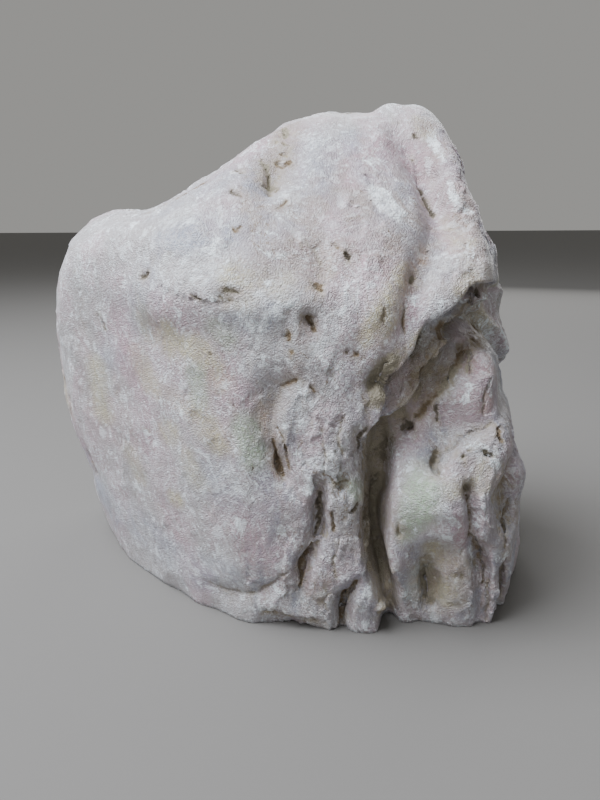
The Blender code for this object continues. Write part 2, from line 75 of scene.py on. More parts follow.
class Side(Enum):
    """The side that a mark is seen from: the axes across and up it, the axis that faces it, and which way."""

    FRONT = (0, 2, 1, -1)
    BACK = (0, 2, 1, 1)
    LEFT = (1, 2, 0, -1)
    RIGHT = (1, 2, 0, 1)
    TOP = (0, 1, 2, 1)


class Tint(Enum):
    """A mask that the skin carries from vertex to vertex, and that the finishes read by its name."""

    PINK = "pink"
    CREAM = "cream"
    GREEN = "green"
    # Bluish stone, and bluish painted shade up the right crest and the right side.
    COOL = "cool"
    CRUSHED = "crushed"
    # Tan soil, and tan painted shade in hollows, under the overhang and at the foot.
    TAN = "tan"
    BROWN = "brown"
    OLIVE = "olive"
    DARK = "dark"
    HOLLOW = "hollow"
    # Raised edges, which the finish whitens as crushed stone and as a painted highlight.
    PROUD = "proud"
    RUST = "rust"
    # Stain soaked into the stone, and in places painted shade.
    STAIN_AND_SHADE = "stain"
    ROUGH = "rough"


@dataclass(frozen=True)
class Mark:
    """A crack along a path, or a pit where the path is one point. A negative depth raises the stone instead.

    Each point of the path gives its place across and up the side, the half width and the depth.
    The soil settles in the mark, and a pale stain reaches as far as the halo, in half widths, around it.
    """

    side: Side
    path: tuple
    soil: Tint = Tint.BROWN
    amount: float = 0.8
    halo: float = 2.6


@dataclass(frozen=True)
class Stroke:
    """A soft tint along a path, or a patch where the path is one point.

    Each point of the path gives its place across and up the side, and the half width.
    """

    side: Side
    tint: Tint
    path: tuple
    amount: float = 1.0


@dataclass(frozen=True)
class Step:
    """A broken edge: the stone on the left of the path lies deeper there, and comes back over the reach.

    Each point of the path gives its place across and up the side, and how deep the step is.
    """

    side: Side
    path: tuple
    reach: float = 6.0


SOILS = (Tint.TAN, Tint.BROWN, Tint.OLIVE, Tint.DARK)
FRONT, BACK, LEFT, RIGHT, TOP = Side.FRONT, Side.BACK, Side.LEFT, Side.RIGHT, Side.TOP

MARKS = (
    # The shadowed hole at the upper end of the overhang, whose dark soil is partly painted shade, and the
    # slits in the sheet below it
    Mark(FRONT, ((85, 155, 2.4, 5.0), (80, 152, 1.4, 3.0)), Tint.DARK, 1.0),
    Mark(FRONT, ((79, 130, 1.5, 2.5), (78, 123, 1.2, 2.0)), Tint.OLIVE),
    Mark(FRONT, ((65, 107, 1.3, 2.2), (66.5, 100, 1.0, 2.0)), Tint.DARK),
    Mark(FRONT, ((54, 97, 2.8, 5.0), (51, 95, 1.6, 2.0)), Tint.DARK, 0.9),
    Mark(FRONT, ((63, 110, 2.6, -0.9), (67, 101, 2.2, -0.8), (69, 92, 2.0, -0.4)), amount=0.0),
    # The valley's crack under its white bank, and the pits of the upper face
    Mark(FRONT, ((60.3, 199, 0.8, 1.4), (61.6, 194, 1.2, 2.4), (64.8, 187, 1.0, 1.4)), Tint.DARK, 1.3),
    Mark(FRONT, ((59.5, 224.5, 1.2, 1.5), (61, 223, 1.0, 1.2)), Tint.DARK, 0.9),
    Mark(FRONT, ((53, 231, 0.9, 1.0),), Tint.DARK),
    Mark(FRONT, ((58, 213, 0.8, 0.9),), Tint.DARK),
    Mark(FRONT, ((52, 162, 2.1, 2.8),), Tint.OLIVE, 1.0),
    Mark(FRONT, ((25, 171, 1.5, 2.2), (24, 173.5, 1.1, 1.0)), Tint.DARK, 0.9),
    Mark(FRONT, ((21, 175, 1.2, 1.0), (18.5, 176.5, 0.9, 0.8)), Tint.BROWN, 0.6),
    Mark(FRONT, ((12, 161, 1.6, 1.4), (14, 158.5, 1.2, 1.4)), Tint.BROWN, 1.1, 3.4),
    Mark(FRONT, ((8.5, 148, 1.3, 1.4), (10.5, 143, 1.0, 1.6)), Tint.BROWN, 1.3),
    Mark(FRONT, ((0.5, 143, 0.9, 1.2), (1.2, 139, 0.8, 1.0)), Tint.BROWN, 1.3),
    Mark(FRONT, ((1.8, 134.5, 1.1, 1.3),), Tint.BROWN, 0.9),
    Mark(FRONT, ((24, 133.6, 0.9, 1.2), (28.5, 132.8, 1.1, 1.5)), Tint.BROWN, 0.9),
    Mark(FRONT, ((31.5, 131.2, 1.0, 1.4),), Tint.DARK),
    Mark(FRONT, ((39.2, 151, 0.8, 1.0), (37.8, 144, 0.9, 1.4)), Tint.BROWN, 0.5),
    Mark(FRONT, ((47.5, 152, 0.8, 0.8), (47.0, 146, 1.0, 1.4), (48.0, 141, 0.8, 1.0)), Tint.BROWN, 0.7),
    Mark(FRONT, ((8.5, 178, 1.4, 0.8), (13.5, 171, 1.5, 1.0), (17, 165, 1.3, 0.8)), Tint.TAN, 0.4),
    # The brow's slits and specks
    Mark(FRONT, (
        (-25.5, 160.5, 0.6, 0.9), (-23.5, 159.2, 0.9, 1.4), (-18, 158.6, 0.6, 1.0),
    ), Tint.OLIVE, 1.0),
    Mark(FRONT, ((-27, 156.4, 0.7, 1.0), (-25, 155.0, 0.9, 1.3), (-22, 155.6, 0.6, 1.0)), Tint.OLIVE, 0.9),
    Mark(FRONT, ((-40, 157.2, 0.6, 0.8), (-37.5, 155.8, 0.9, 1.2), (-34.5, 155.4, 0.6, 0.8)), Tint.DARK, 0.9),
    Mark(FRONT, ((-4, 190, 0.5, 0.6), (-0.5, 193.5, 0.6, 0.8)), Tint.BROWN, 0.9),
    Mark(FRONT, ((-22.5, 182, 0.8, 0.8), (-19, 183.5, 0.6, 0.8)), Tint.BROWN, 0.8),
    Mark(FRONT, ((-62.3, 162.8, 1.3, 1.4), (-60.4, 164.2, 1.1, 1.2)), Tint.DARK, 0.8),
    Mark(FRONT, ((-92, 142, 0.7, 0.9), (-89, 136.5, 0.8, 1.1)), Tint.DARK, 0.7),
    Mark(FRONT, ((-103, 136, 0.7, 0.7),), Tint.DARK, 0.7),
    Mark(FRONT, ((-23, 110, 0.8, 0.8),), Tint.DARK, 0.6),
    Mark(FRONT, ((-15, 83, 0.6, 0.7),), Tint.DARK, 0.7),
    Mark(FRONT, ((-37.5, 111, 0.7, 0.6),), Tint.BROWN, 0.6),
    # The trough's groove and the crack beside it
    Mark(FRONT, (
        (-6.8, 95, 0.6, 0.8), (-5.6, 88, 1.1, 1.8), (-3.4, 82, 1.9, 2.6), (-2.0, 78, 1.1, 1.6),
    ), Tint.BROWN, 1.0),
    Mark(FRONT, (
        (-4, 101, 0.6, 0.8), (-1.4, 96, 0.8, 1.4), (0.0, 88, 0.8, 1.2), (0.6, 82, 0.6, 0.8),
    ), Tint.BROWN, 0.9),
    Mark(FRONT, ((3.5, 122, 1.6, 0.7), (-2, 119.5, 1.4, 0.7)), Tint.BROWN, 0.7),
    Mark(FRONT, ((9.3, 119.5, 0.9, 0.8), (11, 117, 0.7, 0.7)), Tint.BROWN, 0.8),
    Mark(FRONT, ((-9, 113, 5.0, -1.2), (-9, 100, 6.0, -1.8), (-6, 88, 4.0, -1.0)), Tint.TAN, 0.3),
    # The rough rib between the trough and the fissure
    Mark(FRONT, ((22, 77.5, 3.6, -1.6),), Tint.GREEN, 0.6),
    Mark(FRONT, ((18.5, 79.5, 0.8, 0.6), (21, 77.4, 1.3, 0.8), (25, 77.8, 0.8, 0.5)), Tint.OLIVE, 0.9),
    Mark(FRONT, ((29.5, 67.0, 0.9, 1.0), (27.5, 64, 1.3, 2.4)), Tint.DARK, 0.9),
    Mark(FRONT, ((19, 64.5, 0.9, 1.3), (19.2, 54.5, 0.8, 1.6)), Tint.BROWN, 0.8),
    Mark(FRONT, (
        (14.2, 71, 0.8, 1.2), (13.4, 64, 1.5, 3.0), (12.8, 55, 1.2, 2.6), (11.6, 50, 0.8, 1.4),
    ), Tint.DARK, 1.0),
    Mark(FRONT, (
        (10.5, 45, 1.2, 1.6), (5.8, 36, 1.7, 3.0), (5.4, 28, 1.2, 2.4), (4.5, 22, 1.0, 1.2),
    ), Tint.BROWN, 0.9),
    Mark(FRONT, (
        (30.5, 28.5, 1.0, 1.6), (25.5, 19, 1.7, 3.4), (24.8, 10, 1.4, 3.0), (24.9, 2, 1.2, 2.0),
    ), Tint.BROWN, 0.9),
    Mark(FRONT, ((33.5, 101, 0.9, 1.0), (30.4, 97, 1.1, 2.0), (30.9, 89, 0.9, 1.8)), Tint.DARK, 0.8),
    Mark(FRONT, ((14, 102, 0.6, 0.5), (16, 92, 0.8, 0.8), (15, 83, 0.6, 0.5)), Tint.TAN, 0.5),
    Mark(FRONT, ((23, 108, 0.7, 0.6), (21, 98, 0.8, 0.8), (23, 90, 0.7, 0.5)), Tint.TAN, 0.5),
    Mark(FRONT, ((22, 50, 0.7, 0.6), (20, 40, 0.9, 0.9), (21.5, 30, 0.7, 0.6)), Tint.TAN, 0.5),
    # The pocket under the overhang and the chips that lodge in the fissure
    Mark(FRONT, ((43, 130, 3.5, -2.4), (39, 122, 4.5, -3.6), (37.5, 114, 3.5, -2.2)), Tint.OLIVE, 1.1),
    Mark(FRONT, ((40, 70, 1.5, -1.6),), Tint.CRUSHED, 1.0),
    Mark(FRONT, ((41, 61, 1.2, -1.4),), Tint.CRUSHED, 1.0),
    Mark(FRONT, ((36, 52, 2.0, -2.0), (35.5, 44, 1.6, -1.6)), Tint.CRUSHED, 1.0),
    Mark(FRONT, ((42, 37, 1.7, -1.8),), Tint.CRUSHED, 1.0),
    Mark(FRONT, ((42, 14, 3.2, -3.4),), Tint.CRUSHED, 1.0),
    Mark(FRONT, ((47, 7, 2.6, -2.2),), Tint.TAN, 0.6),
    # The lobe: its crease, slit, pits, split, notch and the fluted strips at its right
    Mark(FRONT, (
        (64, 81.5, 2.0, 2.6), (68, 87, 1.2, 1.4), (74, 92.5, 1.3, 1.4), (80, 97, 1.2, 1.2),
        (88, 100.5, 1.0, 0.8),
    ), Tint.TAN, 0.6),
    Mark(FRONT, ((65.6, 86.5, 1.0, 1.8), (64.4, 81, 1.3, 2.6)), Tint.OLIVE, 0.9),
    Mark(FRONT, ((75.5, 88.2, 1.4, 2.2),), Tint.OLIVE, 1.0),
    Mark(FRONT, ((78, 90.4, 0.9, 1.6),), Tint.OLIVE, 1.0),
    Mark(FRONT, ((85, 89.0, 1.3, 2.4), (87, 88.6, 1.3, 2.6)), Tint.OLIVE, 1.0),
    Mark(FRONT, ((75.6, 75.4, 1.0, 1.6), (77.2, 73, 1.4, 2.0)), Tint.OLIVE, 1.0),
    Mark(FRONT, (
        (78, 70, 0.8, 1.4), (79.6, 63, 0.7, 1.2), (80.4, 52, 0.8, 1.2), (84, 46, 1.0, 1.6),
        (87.5, 39, 1.2, 2.0),
        (89.6, 30, 1.0, 1.6), (91, 22, 0.8, 1.2),
    ), Tint.BROWN, 0.7),
    Mark(FRONT, ((90.6, 98.5, 1.4, 2.6), (91, 95, 1.1, 2.0)), Tint.BROWN, 1.0),
    Mark(FRONT, ((63.4, 34, 4.5, -3.0), (65.2, 26, 5.5, -5.0), (66, 14, 5.0, -4.6)), Tint.OLIVE, 0.7),
    Mark(FRONT, ((47.6, 57, 0.9, 1.2), (49.4, 52, 1.3, 2.2)), Tint.OLIVE, 0.9),
    Mark(FRONT, ((48.4, 48, 0.6, 0.8),), Tint.DARK, 0.8),
    Mark(FRONT, ((101, 36, 1.2, 1.6), (102, 22, 1.3, 2.2), (103, 6, 1.2, 1.8)), Tint.TAN, 0.6),
    Mark(FRONT, ((93, 24, 1.0, 1.2), (93.6, 12, 1.2, 1.8), (93.2, 2, 1.0, 1.4)), Tint.TAN, 0.5),
    Mark(FRONT, ((97.5, 19, 1.5, -1.2), (98, 7, 1.5, -1.4)), Tint.CRUSHED, 0.5),
    Mark(FRONT, ((101, 62, 1.4, 1.6), (98, 50, 1.5, 2.0), (99, 42, 1.2, 1.4)), Tint.TAN, 0.6),
    Mark(FRONT, ((87, 120, 0.9, 1.0), (84, 112, 1.1, 1.6), (85, 105, 0.8, 1.0)), Tint.TAN, 0.5),
    # The low crease and the step at the foot
    Mark(FRONT, (
        (-38, 16.5, 1.2, 0.5), (-31, 14.5, 1.8, 1.0), (-22, 16, 1.8, 1.0), (-14, 18.5, 1.8, 1.2),
        (-7, 26, 1.6, 1.0),
        (-1, 32, 1.2, 0.5),
    ), Tint.TAN, 0.45),
    Mark(FRONT, ((-12, 7, 1.4, 0.8), (0, 6, 1.8, 1.6), (12, 4, 1.4, 1.4)), Tint.TAN, 0.7),
    # The slope left of the peak: its pits, slits and the line of holes along its rim
    Mark(TOP, ((-2.4, -1, 1.4, 1.0), (-1.6, -5, 1.9, 1.4), (-0.4, -9, 1.4, 1.0)), Tint.OLIVE, 1.2),
    Mark(TOP, ((-2, -16, 1.0, 1.2), (0, -18, 1.2, 1.6)), Tint.OLIVE, 0.9),
    Mark(TOP, ((-2.6, -22, 1.1, 1.2), (-0.4, -23, 1.0, 1.2)), Tint.BROWN, 1.1),
    Mark(TOP, ((-5, -25.5, 1.4, 1.4), (-2, -26.6, 1.0, 1.0), (1.2, -27, 1.4, 1.4)), Tint.BROWN, 1.1),
    Mark(TOP, (
        (-13, -25, 0.8, 0.9), (-9.4, -28, 1.3, 1.5), (-7.2, -33, 1.5, 1.5), (-10, -35, 0.8, 0.8),
    ), Tint.OLIVE, 1.3),
    Mark(TOP, ((-5.6, -34.6, 1.1, 1.4), (-4.4, -37, 0.8, 1.0)), Tint.DARK, 0.8),
    Mark(TOP, ((-24, -26, 0.9, 0.9), (-20.5, -30, 0.9, 1.1)), Tint.DARK, 0.8),
    Mark(TOP, ((-18, -34, 0.9, 0.9),), Tint.DARK, 0.7),
    Mark(TOP, ((-24.5, -43, 1.2, 1.4), (-21, -45, 0.9, 0.9)), Tint.DARK, 0.9),
    Mark(TOP, ((-20, -42, 0.8, 0.8),), Tint.DARK, 0.7),
    Mark(TOP, (
        (-66, -25, 0.9, 0.7), (-58, -24, 1.0, 1.2), (-52, -25, 0.9, 0.8), (-45, -23, 1.1, 1.4),
        (-38, -22, 0.8, 0.6),
    ), Tint.BROWN, 0.8),
    Mark(TOP, ((28, 12, 1.4, 1.6), (33, 18, 1.0, 1.0)), Tint.BROWN, 0.8),
    Mark(TOP, ((-40, 22, 1.0, 1.0), (-46, 28, 1.4, 1.8)), Tint.DARK, 0.7),
    # The back and the sides
    Mark(BACK, (
        (-64, 128, 1.4, 2.2), (-56, 112, 1.8, 3.0), (-50, 92, 1.4, 2.4), (-52, 70, 1.0, 1.4),
    ), Tint.BROWN, 0.9),
    Mark(BACK, ((10, 176, 1.2, 1.6), (16, 164, 1.6, 2.2), (15, 150, 1.0, 1.2)), Tint.DARK, 0.8),
    Mark(BACK, ((48, 118, 2.6, 3.2), (51, 112, 1.6, 2.0)), Tint.OLIVE, 0.9),
    Mark(BACK, ((66, 92, 1.2, 1.4), (60, 76, 1.4, 2.0), (62, 60, 1.0, 1.2)), Tint.BROWN, 0.7),
    Mark(BACK, ((-20, 60, 1.8, 2.0), (-17, 56, 1.2, 1.4)), Tint.DARK, 0.8),
    Mark(BACK, ((-4, 30, 1.0, 1.2), (4, 20, 1.4, 2.0), (6, 6, 1.2, 1.6)), Tint.BROWN, 0.8),
    Mark(BACK, ((-96, 88, 1.6, 1.8),), Tint.BROWN, 0.9),
    Mark(BACK, ((30, 206, 1.2, 1.2), (38, 202, 1.4, 1.6)), Tint.BROWN, 0.7),
    Mark(RIGHT, ((20, 148, 1.6, 2.0), (12, 132, 1.8, 2.6), (14, 118, 1.2, 1.6)), Tint.BROWN, 0.9),
    Mark(RIGHT, ((-34, 84, 1.4, 2.0), (-30, 66, 1.6, 2.4), (-32, 50, 1.0, 1.4)), Tint.DARK, 0.8),
    Mark(RIGHT, ((34, 62, 2.2, 2.6),), Tint.OLIVE, 0.9),
    Mark(RIGHT, ((30, 26, 1.0, 1.2), (34, 12, 1.4, 2.0)), Tint.BROWN, 0.7),
    Mark(LEFT, ((12, 126, 1.0, 1.2), (16, 112, 1.2, 1.6), (14, 100, 0.9, 1.0)), Tint.BROWN, 0.7),
    Mark(LEFT, ((44, 84, 1.6, 2.0), (48, 76, 1.2, 1.6)), Tint.DARK, 0.8),
    Mark(LEFT, ((8, 58, 1.0, 1.0), (12, 44, 1.3, 1.6)), Tint.BROWN, 0.7),
)

STEPS = (
    # The overhang's lip, the tongue behind it, and the sheet whose lower edge runs down to the fissure
    Step(FRONT, ((84, 156, 0), (77, 150, 1.4), (69, 143, 1.6), (61, 142, 1.2), (57, 136, 0)), 5.0),
    Step(FRONT, ((66, 146, 0), (63, 137, 1.6), (60, 126, 1.8), (54, 123, 1.2), (50, 122, 0)), 6.0),
    Step(FRONT, (
        (84, 137, 0), (76, 131, 1.4), (70, 123, 2.0), (63, 112, 2.0), (59, 106, 1.8), (54, 99, 0),
    ), 7.0),
    Step(FRONT, ((64, 111, 0), (67, 103, 1.0), (69, 92, 0.8), (68, 86, 0)), 5.0),
    Step(FRONT, ((99, 134, 0), (96, 124, 1.4), (95, 112, 1.4), (93, 104, 0)), 6.0),
    # The lobe's upper edge, its split, its small facet and its notch
    Step(FRONT, ((63, 80, 0), (66, 85, 1.6), (70, 89, 1.6), (77, 93, 1.4), (83, 97, 1.2), (90, 100, 0)), 7.0),
    Step(FRONT, ((76, 74, 0), (79, 65, 0.7), (80, 53, 0.9), (84, 42, 1.2), (88, 32, 1.2), (92, 20, 0)), 5.0),
    Step(FRONT, ((84, 24, 0), (78, 32, 1.2), (71, 30, 0)), 5.0),
    Step(FRONT, ((60, 38, 0), (61, 28, 2.0), (62, 14, 2.0), (62, 6, 0)), 4.5),
    Step(FRONT, ((85, 82, 0), (87, 70, 0.9), (88, 58, 0.9), (90, 50, 0)), 7.0),
    Step(FRONT, ((101, 18, 0), (97, 15, 1.0), (97, 3, 1.0)), 4.0),
    # The rib's torn edge and the broken strip above the base
    Step(FRONT, ((-5, 101, 0), (3, 94, 1.0), (8, 84, 1.2), (12, 76, 1.4), (14.5, 66, 0)), 5.0),
    Step(FRONT, ((14.5, 66, 0), (14, 57, 1.6), (13, 47, 1.6), (7, 40, 1.4), (2, 33, 0)), 6.0),
    Step(FRONT, ((30, 56, 0), (27, 46, 0.8), (29, 36, 0.8), (27, 28, 0)), 5.0),
    Step(FRONT, ((22, 4, 0), (5, 7, 1.6), (-6, 8, 1.6), (-16, 9, 0)), 7.0),
    Step(FRONT, ((8, 120, 0), (16, 112, 0.8), (19, 102, 0.7), (17, 94, 0)), 5.0),
    Step(FRONT, ((38, 120, 0), (33, 110, 1.0), (34, 100, 0.8), (31, 90, 0)), 5.0),
    # The brow's lower edge, the trough's bank and the facets of the upper face
    Step(FRONT, (
        (-12, 157, 0), (-24, 155, 1.2), (-35, 155, 1.1), (-43, 156, 0.9), (-53, 160, 0.5), (-62, 164, 0),
    ), 9.0),
    Step(FRONT, ((4, 156, 0), (-1, 151, 1.2), (-3, 143, 1.0), (-5, 136, 0)), 6.0),
    Step(FRONT, ((46, 184, 0), (41, 191, 1.5), (36, 197, 1.5), (28, 202, 0)), 6.0),
    Step(FRONT, ((58, 214, 0), (59, 206, 1.4), (60, 197, 1.8), (62, 192, 1.6), (65, 186, 0)), 6.0),
    Step(FRONT, ((57, 166, 0), (62, 176, 1.0), (64, 187, 0)), 6.0),
    Step(FRONT, ((69, 192, 0), (74, 189, 1.5), (80, 189, 1.3), (83, 191, 0)), 6.0),
    Step(FRONT, ((19, 160, 0), (15, 167, 1.6), (11, 172, 1.6), (6, 178, 1.3), (3, 184, 0)), 8.0),
    Step(FRONT, ((68, 157, 0), (69, 163, 0.8), (71, 173, 0)), 5.0),
    Step(FRONT, ((-74, 134, 0), (-71, 158, 0.8), (-70, 180, 0)), 9.0),
    Step(FRONT, ((-86, 70, 0), (-90, 84, 0.9), (-93, 96, 0.9), (-98, 108, 0)), 9.0),
    Step(FRONT, ((-48, 118, 0), (-52, 132, 0.6), (-58, 146, 0)), 9.0),
    # Sharp breaks on the hidden sides
    Step(BACK, ((-90, 110, 0), (-60, 122, 1.6), (-30, 132, 1.6), (0, 136, 0)), 9.0),
    Step(BACK, ((90, 120, 0), (60, 108, 1.6), (40, 88, 1.6), (30, 60, 0)), 8.0),
    Step(BACK, ((-20, 100, 0), (-28, 80, 1.6), (-24, 50, 1.4), (-30, 20, 0)), 8.0),
    Step(BACK, ((60, 60, 0), (70, 40, 1.4), (66, 16, 0)), 7.0),
    Step(BACK, ((-10, 200, 0), (10, 190, 1.2), (40, 186, 0)), 8.0),
    Step(RIGHT, ((-50, 120, 0), (-20, 112, 1.6), (10, 96, 1.6), (30, 70, 0)), 8.0),
    Step(RIGHT, ((20, 60, 0), (10, 40, 1.6), (16, 14, 0)), 7.0),
    Step(RIGHT, ((-60, 170, 0), (-30, 176, 1.2), (0, 170, 0)), 8.0),
    Step(LEFT, ((60, 120, 0), (30, 112, 1.2), (10, 118, 0)), 9.0),
    Step(LEFT, ((30, 90, 0), (36, 60, 1.4), (30, 30, 0)), 8.0),
    Step(TOP, ((-60, 20, 0), (-30, 14, 1.0), (0, 22, 1.0), (30, 16, 0)), 8.0),
)

